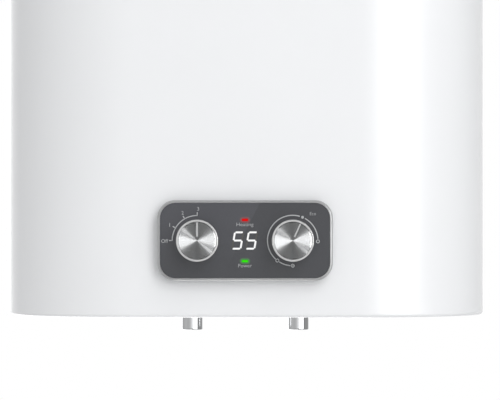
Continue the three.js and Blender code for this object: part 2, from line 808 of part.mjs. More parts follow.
// A hat section of bent sheet: its web is flat on the wall and its flanges on the casing's back.
function hatSection(web, flangeWidth, length) {
  const t = bracket.sheet;
  const gap = hanging.wallGap - fit;
  const half = web / 2;
  const outline = new THREE.Shape();
  outline.moveTo(0, -half);
  outline.lineTo(0, half);
  outline.lineTo(-gap + t, half);
  outline.lineTo(-gap + t, half + flangeWidth);
  outline.lineTo(-gap, half + flangeWidth);
  outline.lineTo(-gap, half - t);
  outline.lineTo(-t, half - t);
  outline.lineTo(-t, -half + t);
  outline.lineTo(-gap, -half + t);
  outline.lineTo(-gap, -half - flangeWidth);
  outline.lineTo(-gap + t, -half - flangeWidth);
  outline.lineTo(-gap + t, -half);
  outline.closePath();
  return prism(outline, -length / 2, length / 2).rotateX(quarter).rotateZ(quarter);
}

const bracketLength = hook.spacing + 2 * bracket.end;

function hangerBracket() {
  const section = hatSection(bracket.web, bracket.flange, bracketLength);
  const entry = -bracket.web / 2 + bracket.keyhole / 2 + 5;
  const keyholes = [-1, 1].flatMap((a) => {
    const x = (a * hook.spacing) / 2;
    const top = entry + bracket.slotRise;
    return [
      backRod(bracket.keyhole / 2, -bracket.sheet - 2, 2, x, entry, 20),
      backRod(bracket.slot / 2, -bracket.sheet - 2, 2, x, top, 16),
      block(bracket.slot, 4 + bracket.sheet, bracket.slotRise, x, -bracket.sheet / 2, entry),
    ];
  });
  const level = bracket.web / 2 + bracket.flange / 2;
  const boltHoles = boltPlaces.map(({ x }) =>
    backRod(bolt.shank / 2 + fit, -hanging.wallGap - 2, -hanging.wallGap + 5, x, level),
  );
  return cut(section, ...keyholes, ...boltHoles);
}

function lowerSpacer() {
  const level = hanging.drop - casing.height + spacer.height;
  return hatSection(spacer.web, spacer.flange, bracketLength).translate(0, 0, level);
}

function bracketBolt(x) {
  const face = -hanging.wallGap + fit + bracket.sheet + fit;
  const level = bracket.web / 2 + bracket.flange / 2;
  const headPart = backRod(bolt.head / 2, face, face + bolt.headHeight, x, level, 6);
  const shankPart = backRod(bolt.shank / 2, face - bolt.length, face + 1, x, level, 12);
  return join(headPart, shankPart);
}

// ---------- assembly ----------

piece(body, "jacket", jacket(), materials.whitePaint);
piece(body, "top_cap", topCap(), materials.whitePlastic);
piece(body, "bottom_cap", bottomCap(), materials.whitePlastic);
piece(body, "insulation_foam", insulationFoam(), materials.foam);

for (const { side, sign } of sides) {
  piece(body, `${side}_access_cover`, accessCover(sign), materials.whitePlastic);
  piece(body, `${side}_access_screw`, accessScrew(sign), materials.zincSteel);
  piece(body, `${side}_tank`, tankShell(sign), materials.stainless);
  piece(body, `${side}_flange_plate`, flangePlate(sign), materials.stainless);
  piece(body, `${side}_flange_gasket`, flangeGasket(sign), materials.rubber);
  piece(body, `${side}_ring_nut`, ringNut(sign), materials.zincSteel);
  piece(body, `${side}_heating_element`, heatingElement(sign), materials.copper);
  piece(body, `${side}_anode`, anodeRod(sign), materials.magnesium);
  piece(body, `${side}_sensor_pocket`, sensorPocket(sign), materials.stainless);
  piece(body, `${side}_heater_lead`, heaterLead(sign), materials.redPlastic);
  piece(body, `${side}_relay`, relayCan(sign), materials.blackPlastic);
}

piece(body, "cold_inlet_nipple", nippleTube(-1, inletTop), materials.chrome);
piece(body, "hot_outlet_nipple", nippleTube(1, inletTop), materials.chrome);
piece(body, "inlet_diffuser", inletDiffuser(), materials.greyPlastic);
piece(body, "hot_pickup_tube", hotPickupTube(), materials.stainless);
piece(body, "transfer_pipe", transferPipe(), materials.stainless);
piece(body, "cold_collar", nippleCollar(-1), materials.bluePlastic);
piece(body, "hot_collar", nippleCollar(1), materials.redPlastic);
piece(body, "cable_grommet", cableGrommet(), materials.rubber);

piece(body, "main_board", mainBoard(), materials.circuitBoard);
piece(body, "terminal_block", terminalBlock(), materials.blackPlastic);
piece(body, "thermal_cutout", thermalCutout(), materials.blackPlastic);
piece(body, "reset_button", resetButton(), materials.redPlastic);
piece(body, "display_cable", displayCable(), materials.greyPlastic);

piece(front, "control_housing", controlHousing(), materials.greyPlastic);
piece(front, "panel_bezel", panelBezel(), materials.satinSilver);
piece(front, "panel_plate", panelPlate(), materials.smokedPlate);
piece(front, "display_board", displayBoard(), materials.circuitBoard);
piece(front, "display_module", displayModule(), materials.blackPlastic);
piece(front, "heating_lamp", lampBar(1, boardTop + fit, frontLevel), materials.redLamp);
piece(front, "power_lamp", lampBar(-1, boardTop + fit, frontLevel), materials.greenLamp);
piece(front, "power_switch_body", controlBody(-1, selector), materials.blackPlastic);
piece(front, "temperature_dial_body", controlBody(1, dialPot), materials.blackPlastic);
addKnob("power", -1, selector, 0);
addKnob("temperature", 1, dialPot, temperatureAngle);

piece(heater, "hanger_bracket", hangerBracket(), materials.zincSteel);
piece(heater, "lower_spacer", lowerSpacer(), materials.zincSteel);
boltPlaces.forEach(({ x }, i) => {
  piece(heater, `bracket_bolt_${i + 1}`, bracketBolt(x), materials.zincSteel);
});

export default heater;
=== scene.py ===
import json
from math import cos, pi, radians, sin

import bmesh
import bpy
from mathutils import Matrix, Vector


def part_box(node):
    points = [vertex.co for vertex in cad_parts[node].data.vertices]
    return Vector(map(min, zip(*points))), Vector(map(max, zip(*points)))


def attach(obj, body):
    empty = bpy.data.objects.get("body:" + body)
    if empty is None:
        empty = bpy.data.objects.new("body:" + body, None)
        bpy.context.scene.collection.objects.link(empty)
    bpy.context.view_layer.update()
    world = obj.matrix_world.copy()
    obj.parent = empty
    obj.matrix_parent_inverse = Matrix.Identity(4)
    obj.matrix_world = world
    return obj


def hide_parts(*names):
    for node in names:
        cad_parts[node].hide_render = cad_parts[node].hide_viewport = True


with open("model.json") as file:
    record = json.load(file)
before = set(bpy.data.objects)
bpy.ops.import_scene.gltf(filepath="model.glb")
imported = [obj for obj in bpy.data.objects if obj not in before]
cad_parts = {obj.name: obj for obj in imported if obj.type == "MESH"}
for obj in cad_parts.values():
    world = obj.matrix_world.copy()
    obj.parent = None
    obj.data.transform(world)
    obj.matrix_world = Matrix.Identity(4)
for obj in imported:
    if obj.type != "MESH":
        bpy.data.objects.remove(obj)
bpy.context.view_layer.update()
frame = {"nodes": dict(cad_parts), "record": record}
mm = 0.001
quarter = pi / 2

scene = bpy.context.scene
scene.view_settings.view_transform = "Standard"
scene.view_settings.look = "None"

jacketLow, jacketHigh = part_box("jacket")
bezelLow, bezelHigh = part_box("panel_bezel")
plateLow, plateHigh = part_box("panel_plate")
casingMiddle = Vector((0, (jacketLow.y + jacketHigh.y) / 2, jacketLow.z))
panelMiddle = Vector((0, jacketLow.y, (bezelLow.z + bezelHigh.z) / 2))

# Pieces of the casing are drawn from its bottom edge up, pieces of the panel facing the viewer.
casingPlace = Matrix.Translation(casingMiddle)
panelPlace = Matrix.Translation(panelMiddle) @ Matrix.Rotation(quarter, 4, "X")


def middleOf(node):
    low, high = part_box(node)
    return (low + high) / 2


# A round upright node: its middle from the casing's, and its radius, bottom and top in millimetres.
def roundNode(node):
    low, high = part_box(node)
    middle = (low + high) / 2 - casingMiddle
    bottom, top = (low.z - casingMiddle.z) / mm, (high.z - casingMiddle.z) / mm
    return middle, (high.x - low.x) / 2 / mm, bottom, top


# Names with a capital set a socket of the new node, the others one of its own settings.
def addNode(tree, kind, **values):
    node = tree.nodes.new("ShaderNode" + kind)
    for key, value in values.items():
        if key[0].isupper():
            node.inputs[key.replace("_", " ")].default_value = value
        else:
            setattr(node, key, value)
    return node


def addMath(tree, kind, first, second=0.0):
    node = addNode(tree, "Math", operation=kind)
    for socket, value in zip(node.inputs, (first, second)):
        if isinstance(value, (int, float)):
            socket.default_value = value
        else:
            tree.links.new(value, socket)
    return node.outputs[0]


def fadeOver(tree, value, start, end, low, high):
    fade = addNode(tree, "MapRange", interpolation_type="SMOOTHSTEP", From_Min=start, From_Max=end,
                   To_Min=low, To_Max=high)
    tree.links.new(value, fade.inputs[0])
    return fade.outputs[0]


cameraValues = {
    "distance": 3.8,  # from the middle of the casing
    "right": 4.8 * mm,
    "aboveCasingBottom": 112.7 * mm,
    "pictureWidth": 495.1 * mm,  # what the picture spans at the middle of the casing
    "sensor": 36,
    "clip": (0.1, 60),
}


def addCamera(values):
    data = bpy.data.cameras.new("camera")
    data.sensor_width = values["sensor"]
    data.lens = values["sensor"] * values["distance"] / values["pictureWidth"]
    data.clip_start, data.clip_end = values["clip"]
    camera = bpy.data.objects.new("camera", data)
    scene.collection.objects.link(camera)
    offset = Vector((values["right"], -values["distance"], values["aboveCasingBottom"]))
    camera.location = casingMiddle + offset
    camera.rotation_euler = (quarter, 0, 0)
    scene.camera = camera
    print("camera with a lens of", round(data.lens), "mm")


lightValues = {
    "key": {"azimuth": 30, "elevation": 29, "distance": 2.8, "size": (1.5, 3.0), "power": 35},
    "fill": {"azimuth": -150, "elevation": 20, "distance": 3.2, "size": (2.0, 2.4), "power": 16},
    "ambient": 0.53,
    "fromAbove": 0.85,  # how much more of it comes from above than from below
}


def addSoftbox(name, values):
    a, e = radians(values["azimuth"]), radians(values["elevation"])
    back = Vector((sin(a) * cos(e), -cos(a) * cos(e), sin(e)))
    data = bpy.data.lights.new(name, "AREA")
    data.shape = "RECTANGLE"
    data.size, data.size_y = values["size"]
    data.energy = values["power"]
    light = bpy.data.objects.new(name, data)
    scene.collection.objects.link(light)
    light.location = panelMiddle + back * values["distance"]
    light.rotation_mode = "QUATERNION"
    light.rotation_quaternion = back.to_track_quat("Z", "Y")
    light.visible_glossy = False  # the studio's reflections are in the world
    light.visible_camera = False


studioValues = {
    # brightness at eye level, from behind the heater on the left, past the camera, to the right
    "round": [(0.0, 3.8), (0.055, 3.0), (0.10, 1.1), (0.14, 0.42), (0.22, 0.44), (0.30, 0.49),
              (0.38, 0.45), (0.44, 0.52), (0.50, 0.87), (0.535, 1.2), (0.56, 5.2), (0.63, 5.2),
              (0.66, 0.9), (0.69, 0.22), (0.74, 0.31), (0.79, 0.30), (0.84, 0.26), (0.93, 0.7),
              (1.0, 1.3)],
    "tilt": 5,  # degrees by which the bright band leans
    "sink": 0.02,  # how far its middle lies below eye level
    "band": 0.36,
    "bandSoft": 0.055,
    "bandCore": 0.015,
    "aboveAndBelow": 0.05,
    "turnBehind": 0.3,  # how softly the band gives way to the even light behind the heater
    # narrow streaks that cross the dark parts: clock angle, half width, strength
    "streaks": [(129, 0.05, 2.0), (118, 0.12, 0.08), (13, 0.06, 0.16), (157, 0.07, 0.10)],
    "streakFade": (1.6, 0.6),  # where a streak starts and where it is full, in half widths
}


# Glossy rays see the shaped studio, the others a plain soft light, and the camera sees white.
def addWorld(values, ambient, fromAbove):
    world = bpy.data.worlds.new("studio")
    scene.world = world
    world.cycles.sampling_method = "NONE"  # otherwise part of the gloss would see the soft light
    world.use_nodes = True
    tree = world.node_tree
    tree.nodes.clear()

    def math(kind, *inputs):
        return addMath(tree, kind, *inputs)

    parts = addNode(tree, "SeparateXYZ")
    tree.links.new(addNode(tree, "TexCoord").outputs["Generated"], parts.inputs[0])
    x, y, z = parts.outputs
    around = math("ARCTAN2", x, math("MULTIPLY", y, -1))
    share = math("ADD", math("DIVIDE", around, 2 * pi), 0.5)
    ramp = addNode(tree, "ValToRGB")
    stops = ramp.color_ramp.elements
    brightest = max(level for place, level in values["round"])
    for place, level in values["round"][1:-1]:
        stops.new(place)
    for stop, (place, level) in zip(stops, values["round"]):
        stop.position = place
        stop.color = (level / brightest, level / brightest, level / brightest, 1)
    tree.links.new(share, ramp.inputs[0])
    eyeLevel = math("MULTIPLY", ramp.outputs[0], brightest)

    # how far a direction stands off a line through the middle of the studio, drawn at a clock angle
    up = math("ADD", z, values["sink"])
    squares = math("ADD", math("MULTIPLY", x, x), math("MULTIPLY", up, up))
    reach = math("MAXIMUM", math("SQRT", squares), 0.001)

    def offLine(clock, core=0.0):
        a = radians(clock)
        across = math("ADD", math("MULTIPLY", x, -cos(a)), math("MULTIPLY", up, sin(a)))
        beyond = math("MAXIMUM", math("SUBTRACT", math("ABSOLUTE", across), core), 0)
        return math("DIVIDE", beyond, reach)

    band, soft = values["band"], values["bandSoft"]
    off = offLine(90 - values["tilt"], values["bandCore"])
    inBand = fadeOver(tree, off, band + soft, band - soft, 0.0, 1.0)
    dim = values["aboveAndBelow"]
    start, full = values["streakFade"]
    for clock, width, strength in values["streaks"]:
        streak = fadeOver(tree, offLine(clock), width * start, width * full, 0.0, strength)
        dim = math("ADD", dim, streak)
    behind = fadeOver(tree, y, -values["turnBehind"], values["turnBehind"], 0.0, 1.0)
    bright = math("MAXIMUM", inBand, behind)
    level = math("ADD", math("MULTIPLY", eyeLevel, bright),
                 math("MULTIPLY", dim, math("SUBTRACT", 1, bright)))

    rays = addNode(tree, "LightPath").outputs
    plain = math("MULTIPLY", ambient, math("ADD", math("MULTIPLY", z, fromAbove), 1))
    lit = math("ADD", math("MULTIPLY", level, rays["Is Glossy Ray"]),
               math("MULTIPLY", plain, math("SUBTRACT", 1, rays["Is Glossy Ray"])))
    whole = math("ADD", math("MULTIPLY", lit, math("SUBTRACT", 1, rays["Is Camera Ray"])),
                 rays["Is Camera Ray"])
    background = addNode(tree, "Background", Color=(1, 1, 1, 1))
    tree.links.new(whole, background.inputs["Strength"])
    output = addNode(tree, "OutputWorld")
    tree.links.new(background.outputs[0], output.inputs["Surface"])


floorValues = {"radius": 3.4, "corners": 96, "belowCasing": 0.37}


def addFloor(values):
    bm = bmesh.new()
    bmesh.ops.create_circle(bm, cap_ends=True, radius=values["radius"], segments=values["corners"])
    height = jacketLow.z - values["belowCasing"]
    bmesh.ops.translate(bm, verts=bm.verts, vec=(0, casingMiddle.y, height))
    floor = newPiece("floor", bm, finishes["floor"])
    floor.visible_glossy = False  # the gloss shows the studio only


def newFinish(name):
    material = bpy.data.materials.new(name)
    material.use_nodes = True
    shader = material.node_tree.nodes["Principled BSDF"]
    return material, material.node_tree, shader


def setShader(shader, **values):
    for key, value in values.items():
        shader.inputs[key.replace("_", " ")].default_value = value


def objectSpace(tree, stretch=(1, 1, 1), middle=(0, 0, 0)):
    coordinates = addNode(tree, "TexCoord")
    mapping = addNode(tree, "Mapping", vector_type="TEXTURE", Location=middle, Scale=stretch)
    tree.links.new(coordinates.outputs["Object"], mapping.inputs[0])
    return mapping.outputs[0]


def spanBetween(tree, value, low, high, start=0.0, end=1.0):
    span = addNode(tree, "MapRange", From_Min=start, From_Max=end, To_Min=low, To_Max=high)
    tree.links.new(value, span.inputs[0])
    return span.outputs[0]


def noiseBetween(tree, place, scale, low, high, detail=4.0):
    noise = addNode(tree, "TexNoise", Scale=scale, Detail=detail, Roughness=0.55)
    tree.links.new(place, noise.inputs["Vector"])
    return spanBetween(tree, noise.outputs[0], low, high, 0.3, 0.7)


def mixColours(tree, factor, first, second, blend="MIX"):
    mix = addNode(tree, "Mix", data_type="RGBA", blend_type=blend)
    for socket, value in ((mix.inputs[0], factor), (mix.inputs[6], first), (mix.inputs[7], second)):
        if isinstance(value, (int, float)):
            socket.default_value = value
        elif isinstance(value, tuple):
            socket.default_value = (*value, 1)
        else:
            tree.links.new(value, socket)
    return mix.outputs[2]


def addBump(tree, shader, height, distance, after=None):
    bump = addNode(tree, "Bump", Strength=1.0, Distance=distance)
    tree.links.new(height, bump.inputs["Height"])
    if after is not None:
        tree.links.new(after, bump.inputs["Normal"])
    tree.links.new(bump.outputs[0], shader.inputs["Normal"])
    return bump.outputs[0]


def shaded(colour, share):
    return tuple(max(0.0, min(1.0, c * share)) for c in colour)


plainSurface = {
    "cloudScale": 30,
    "glossScale": 80,
    "metallic": 0.0,
    "coat": 0.0,
    "coatRoughness": 0.05,
    "specular": 0.5,
    "grainScale": 1500,
    "grainDetail": 2.0,
    "grainHeight": 0.01,
}

surfaceValues = {
    "white_plastic": {"colour": (0.82, 0.825, 0.83), "spread": 0.012, "roughness": (0.42, 0.52),
                      "cloudScale": 12, "grainScale": 1900, "grainHeight": 0.03},
    "black_rubber": {"colour": (0.022, 0.022, 0.024), "spread": 0.25, "roughness": (0.6, 0.8),
                     "grainHeight": 0.04, "specular": 0.35},
    "chrome": {"colour": (0.86, 0.87, 0.88), "spread": 0.01, "roughness": (0.035, 0.06),
               "metallic": 1.0, "cloudScale": 60, "grainScale": 250, "grainHeight": 0.0008},
    "satin_silver": {"colour": (0.53, 0.534, 0.54), "spread": 0.015, "roughness": (0.28, 0.34),
                     "metallic": 0.6, "grainScale": 2600, "grainHeight": 0.003},
    "pearl_chrome": {"colour": (0.73, 0.73, 0.735), "spread": 0.01, "roughness": (0.22, 0.28),
                     "metallic": 0.5, "grainScale": 2600, "grainHeight": 0.002},
    "pointer_white": {"colour": (0.47, 0.475, 0.48), "spread": 0.01, "roughness": (0.3, 0.4),
                      "coat": 0.2, "grainHeight": 0.002},
    "blue_plastic": {"colour": (0.035, 0.13, 0.45), "spread": 0.05, "roughness": (0.35, 0.5),
                     "grainHeight": 0.02},
    "red_plastic": {"colour": (0.50, 0.035, 0.025), "spread": 0.05, "roughness": (0.35, 0.5),
                    "grainHeight": 0.02},
    "grey_plastic": {"colour": (0.16, 0.165, 0.17), "spread": 0.05, "roughness": (0.45, 0.6),
                     "grainHeight": 0.03},
    "black_plastic": {"colour": (0.02, 0.021, 0.023), "spread": 0.12, "roughness": (0.35, 0.5),
                      "grainHeight": 0.03},
    "print_white": {"colour": (0.46, 0.47, 0.48), "spread": 0.03, "roughness": (0.4, 0.5),
                    "grainScale": 4000, "grainHeight": 0.002},
    "print_grey": {"colour": (0.36, 0.365, 0.375), "spread": 0.03, "roughness": (0.4, 0.5),
                   "grainScale": 4000, "grainHeight": 0.002},
    "unlit_segment": {"colour": (0.088, 0.085, 0.082), "spread": 0.05, "roughness": (0.2, 0.3)},
    "floor": {"colour": (0.80, 0.80, 0.80), "spread": 0.01, "roughness": (0.75, 0.85),
              "cloudScale": 2, "grainScale": 200, "grainHeight": 0.05},
}


# A plain moulded, painted or plated finish: cloudy colour, uneven gloss and a fine texture.
def surfaceFinish(name, values):
    values = {**plainSurface, **values}
    material, tree, shader = newFinish(name)
    place = objectSpace(tree)
    colour, spread = values["colour"], values["spread"]
    cloud = noiseBetween(tree, place, values["cloudScale"], 0, 1)
    base = mixColours(tree, cloud, shaded(colour, 1 - spread), shaded(colour, 1 + spread))
    tree.links.new(base, shader.inputs["Base Color"])
    gloss = noiseBetween(tree, place, values["glossScale"], *values["roughness"])
    tree.links.new(gloss, shader.inputs["Roughness"])
    setShader(shader, Metallic=values["metallic"], Coat_Weight=values["coat"],
              Coat_Roughness=values["coatRoughness"], Specular_IOR_Level=values["specular"])
    grain = noiseBetween(tree, place, values["grainScale"], 0, 1, detail=values["grainDetail"])
    addBump(tree, shader, grain, values["grainHeight"] * mm)
    return material


enamelValues = {
    "colour": (0.868, 0.878, 0.893),
    "cloudScale": 6,
    "cloudShade": 0.985,
    "roughness": (0.48, 0.54),
    "glossScale": 45,
    "specular": 0.5,
    "coat": 1.0,
    "coatRoughness": 0.26,
    "sheetScale": 9,
    "sheetHeight": 0.05,
    "peelScale": 420,
    "peelHeight": 0.004,
}


# White powder coat: a faint orange peel, a slow unevenness of the sheet under it, a soft gloss.
def enamelFinish(name, values):
    material, tree, shader = newFinish(name)
    place = objectSpace(tree)
    cloud = noiseBetween(tree, place, values["cloudScale"], 0, 1)
    base = mixColours(tree, cloud, values["colour"], shaded(values["colour"], values["cloudShade"]))
    tree.links.new(base, shader.inputs["Base Color"])
    gloss = noiseBetween(tree, place, values["glossScale"], *values["roughness"])
    tree.links.new(gloss, shader.inputs["Roughness"])
    setShader(shader, Specular_IOR_Level=values["specular"], Coat_Weight=values["coat"],
              Coat_Roughness=values["coatRoughness"])
    sheet = noiseBetween(tree, place, values["sheetScale"], 0, 1, detail=1.0)
    wavy = addBump(tree, shader, sheet, values["sheetHeight"] * mm)
    peel = noiseBetween(tree, place, values["peelScale"], 0, 1, detail=1.5)
    addBump(tree, shader, peel, values["peelHeight"] * mm, after=wavy)
    return material


# How far a point lies from a short level line, the core of a lamp.
def offCore(tree, place, middle, half):
    parts = addNode(tree, "SeparateXYZ")
    tree.links.new(place, parts.inputs[0])
    across = addMath(tree, "ABSOLUTE", addMath(tree, "SUBTRACT", parts.outputs[0], middle.x))
    beyond = addMath(tree, "MAXIMUM", addMath(tree, "SUBTRACT", across, half), 0)
    upright = addMath(tree, "SUBTRACT", parts.outputs[2], middle.z)
    return addMath(tree, "SQRT", addMath(tree, "ADD", addMath(tree, "MULTIPLY", beyond, beyond),
                                         addMath(tree, "MULTIPLY", upright, upright)))


smokedValues = {
    "low": (0.053, 0.055, 0.062),
    "high": (0.056, 0.058, 0.065),
    "light": (0.071, 0.073, 0.084),  # painted reflection: the lighter area at the upper left
    "slant": 0.508,
    "slantAt": -4.0,
    "slantSoft": 0.6,
    "rise": 36,  # the colour changes over this much below and above the middle
    "specks": (900, 0.97, 1.03),  # scale, lowest, highest
    "gloss": (60, 0.10, 0.15),
    "coat": 0.35,
    "coatRoughness": 0.03,
    "flowScale": 25,
    "flowHeight": 0.006,
    "glow": {"heating_lamp": (1.0, 0.01, 0.0), "power_lamp": (0.05, 1.0, 0.0)},
    "glowInset": 1.2,  # its core ends this far inside the lamp
    "glowStart": 0.8,
    "glowReach": 3.6,
    "glowStrength": 0.22,
}


# Gloss panel plate: dark tinted, a painted reflection as a lighter slanted area, a painted glow
# round each lamp.
def smokedFinish(name, values):
    material, tree, shader = newFinish(name)
    place = objectSpace(tree, middle=tuple(panelMiddle))
    parts = addNode(tree, "SeparateXYZ")
    tree.links.new(place, parts.inputs[0])
    x, y, z = parts.outputs
    # the slanted edge of the painted reflection
    slope = addMath(tree, "SUBTRACT", x, addMath(tree, "MULTIPLY", z, values["slant"]))
    at, soft = values["slantAt"], values["slantSoft"]
    left = fadeOver(tree, slope, (at + soft) * mm, (at - soft) * mm, 0.0, 1.0)
    rising = fadeOver(tree, z, -values["rise"] * mm, values["rise"] * mm, 0.0, 1.0)
    # painted reflection: lighter colour left of the slanted edge, fading out towards the bottom
    paintedReflection = addMath(tree, "MULTIPLY", left, rising)
    base = mixColours(tree, rising, values["low"], values["high"])
    base = mixColours(tree, paintedReflection, base, values["light"])
    specks = noiseBetween(tree, place, *values["specks"], detail=2)
    base = mixColours(tree, 1.0, base, specks, blend="MULTIPLY")
    tree.links.new(base, shader.inputs["Base Color"])
    tree.links.new(noiseBetween(tree, place, *values["gloss"]), shader.inputs["Roughness"])
    setShader(shader, Coat_Weight=values["coat"], Coat_Roughness=values["coatRoughness"])
    total = None
    # painted glow: the plate itself emits the lamps' light, fading with distance from each lamp
    for lamp, colour in values["glow"].items():
        low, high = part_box(lamp)
        half = (high.x - low.x) / 2 - values["glowInset"] * mm
        far = offCore(tree, place, (low + high) / 2 - panelMiddle, half)
        glow = fadeOver(tree, far, values["glowReach"] * mm, values["glowStart"] * mm, 0.0, 1.0)
        tint = mixColours(tree, glow, (0, 0, 0), colour)
        total = tint if total is None else mixColours(tree, 1.0, total, tint, blend="ADD")
    tree.links.new(total, shader.inputs["Emission Color"])
    setShader(shader, Emission_Strength=values["glowStrength"])
    flow = noiseBetween(tree, place, values["flowScale"], 0, 1, detail=1)
    addBump(tree, shader, flow, values["flowHeight"] * mm)
    return material


spunValues = {
    "colour": (0.78, 0.79, 0.80),
    "grooveShade": 0.9,
    "grooves": 2600,
    "grooveHeight": 0.002,
    "roughness": (0.17, 0.21),
    "anisotropic": 1.0,
    "turn": 0.25,
}


# Spun metal: round grooves, which draw every light out into a streak across the face.
def spunFinish(name, middle, values):
    material, tree, shader = newFinish(name)
    parts = addNode(tree, "SeparateXYZ")
    tree.links.new(objectSpace(tree, middle=tuple(middle)), parts.inputs[0])
    x, y, z = parts.outputs
    out = addMath(tree, "SQRT", addMath(tree, "ADD", addMath(tree, "MULTIPLY", x, x),
                                        addMath(tree, "MULTIPLY", z, z)))
    rings = addNode(tree, "TexNoise", noise_dimensions="1D", Scale=values["grooves"], Detail=3.0)
    tree.links.new(out, rings.inputs["W"])
    colour = values["colour"]
    base = mixColours(tree, rings.outputs[0], shaded(colour, values["grooveShade"]), colour)
    tree.links.new(base, shader.inputs["Base Color"])
    gloss = spanBetween(tree, rings.outputs[0], *values["roughness"])
    tree.links.new(gloss, shader.inputs["Roughness"])
    setShader(shader, Metallic=1.0, Anisotropic=values["anisotropic"],
              Anisotropic_Rotation=values["turn"])
    tangent = addNode(tree, "Tangent", direction_type="RADIAL", axis="Y")
    tree.links.new(tangent.outputs[0], shader.inputs["Tangent"])
    addBump(tree, shader, rings.outputs[0], values["grooveHeight"] * mm)
    return material


brushedValues = {
    "stainless": {"colour": (0.60, 0.60, 0.60), "stretch": (1, 1, 0.04), "lineScale": 60,
                  "cloudScale": 14, "stain": 0.86, "roughness": (0.22, 0.36), "height": 0.01},
    "copper": {"colour": (0.62, 0.30, 0.17), "stretch": (1, 1, 0.1), "lineScale": 90,
               "cloudScale": 60, "stain": 0.6, "roughness": (0.25, 0.5), "height": 0.01},
    "magnesium": {"colour": (0.42, 0.43, 0.43), "stretch": (1, 1, 1), "lineScale": 300,
                  "cloudScale": 90, "stain": 0.8, "roughness": (0.5, 0.7), "height": 0.05},
}
brushedLineShade = 0.88


def brushedFinish(name, values):
    material, tree, shader = newFinish(name)
    place = objectSpace(tree, stretch=values["stretch"])
    colour = values["colour"]
    lines = noiseBetween(tree, place, values["lineScale"], 0, 1, detail=5)
    cloud = noiseBetween(tree, objectSpace(tree), values["cloudScale"], 0, 1)
    base = mixColours(tree, lines, shaded(colour, brushedLineShade), colour)
    base = mixColours(tree, cloud, shaded(colour, values["stain"]), base)
    tree.links.new(base, shader.inputs["Base Color"])
    gloss = noiseBetween(tree, place, values["lineScale"], *values["roughness"])
    tree.links.new(gloss, shader.inputs["Roughness"])
    setShader(shader, Metallic=1.0)
    addBump(tree, shader, lines, values["height"] * mm)
    return material


zincValues = {
    "colour": (0.36, 0.375, 0.39),
    "darkest": 0.62,
    "crystalScale": 160,
    "roughness": (0.34, 0.52),
    "metallic": 0.85,
    "grainScale": 700,
    "grainHeight": 0.01,
}


# Zinc plate: large dull crystals with a slightly different tone each.
def zincFinish(name, values):
    material, tree, shader = newFinish(name)
    place = objectSpace(tree)
    crystals = addNode(tree, "TexVoronoi", Scale=values["crystalScale"])
    tree.links.new(place, crystals.inputs["Vector"])
    tone = addNode(tree, "RGBToBW")
    tree.links.new(crystals.outputs["Color"], tone.inputs[0])
    colour = values["colour"]
    base = mixColours(tree, tone.outputs[0], shaded(colour, values["darkest"]), colour)
    tree.links.new(base, shader.inputs["Base Color"])
    gloss = spanBetween(tree, tone.outputs[0], *values["roughness"])
    tree.links.new(gloss, shader.inputs["Roughness"])
    setShader(shader, Metallic=values["metallic"])
    grain = noiseBetween(tree, place, values["grainScale"], 0, 1)
    addBump(tree, shader, grain, values["grainHeight"] * mm)
    return material


foamValues = {
    "colour": (0.80, 0.68, 0.36),
    "skinScale": 12,
    "skinShade": 0.85,
    "cellScale": 420,
    "cellHeight": 0.5,
    "roughness": 0.9,
}


def foamFinish(name, values):
    material, tree, shader = newFinish(name)
    place = objectSpace(tree)
    cells = addNode(tree, "TexVoronoi", Scale=values["cellScale"])
    tree.links.new(place, cells.inputs["Vector"])
    skin = noiseBetween(tree, place, values["skinScale"], 0, 1)
    base = mixColours(tree, skin, shaded(values["colour"], values["skinShade"]), values["colour"])
    tree.links.new(base, shader.inputs["Base Color"])
    setShader(shader, Roughness=values["roughness"])
    addBump(tree, shader, cells.outputs["Distance"], values["cellHeight"] * mm)
    return material


boardValues = {
    "colour": (0.03, 0.15, 0.06),
    "otherShade": 0.85,
    "gapShade": 1.7,
    "gap": 0.12,
    "trackScale": 90,
    "trackHeight": 0.03,
    "gloss": (200, 0.3, 0.45),
}


def boardFinish(name, values):
    material, tree, shader = newFinish(name)
    place = objectSpace(tree)
    colour = values["colour"]
    tracks = addNode(tree, "TexBrick", Scale=values["trackScale"], Mortar_Size=values["gap"],
                     Color1=(*colour, 1), Color2=(*shaded(colour, values["otherShade"]), 1),
                     Mortar=(*shaded(colour, values["gapShade"]), 1))
    tree.links.new(place, tracks.inputs["Vector"])
    tree.links.new(tracks.outputs["Color"], shader.inputs["Base Color"])
    tree.links.new(noiseBetween(tree, place, *values["gloss"]), shader.inputs["Roughness"])
    addBump(tree, shader, tracks.outputs["Fac"], values["trackHeight"] * mm)
    return material


windowValues = {
    "coreEdge": 0.3,
    "rim": 1.4,
    "rimLight": 0.25,
    "strength": 0.78,
    "grain": (300, 0.06, 0.10),
    "roughness": 0.5,
    "specular": 0.12,
}


# A lit window: bright in its core and dimmer at its rim, as light spreads in clear plastic.
def windowFinish(name, node, colour, values):
    material, tree, shader = newFinish(name)
    place = objectSpace(tree)
    low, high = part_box(node)
    core = (high.x - low.x) / 2 - (high.z - low.z) / 2
    far = offCore(tree, place, (low + high) / 2, core)
    coreEdge, rim = values["coreEdge"] * mm, values["rim"] * mm
    light = fadeOver(tree, far, coreEdge, rim, 1.0, values["rimLight"])
    tree.links.new(mixColours(tree, 1.0, colour, light, blend="MULTIPLY"),
                   shader.inputs["Emission Color"])
    grain = noiseBetween(tree, place, *values["grain"])
    tree.links.new(mixColours(tree, 1.0, colour, grain, blend="MULTIPLY"),
                   shader.inputs["Base Color"])
    setShader(shader, Emission_Strength=values["strength"], Roughness=values["roughness"],
              Specular_IOR_Level=values["specular"])
    return material


digitLight = {
    "colour": (1.0, 1.0, 1.0),
    "strength": 0.95,
    "grain": (500, 0.92, 1.0),
    "unlit": ((0.02, 0.02, 0.02), (0.05, 0.05, 0.05)),
    "roughness": 0.5,
}


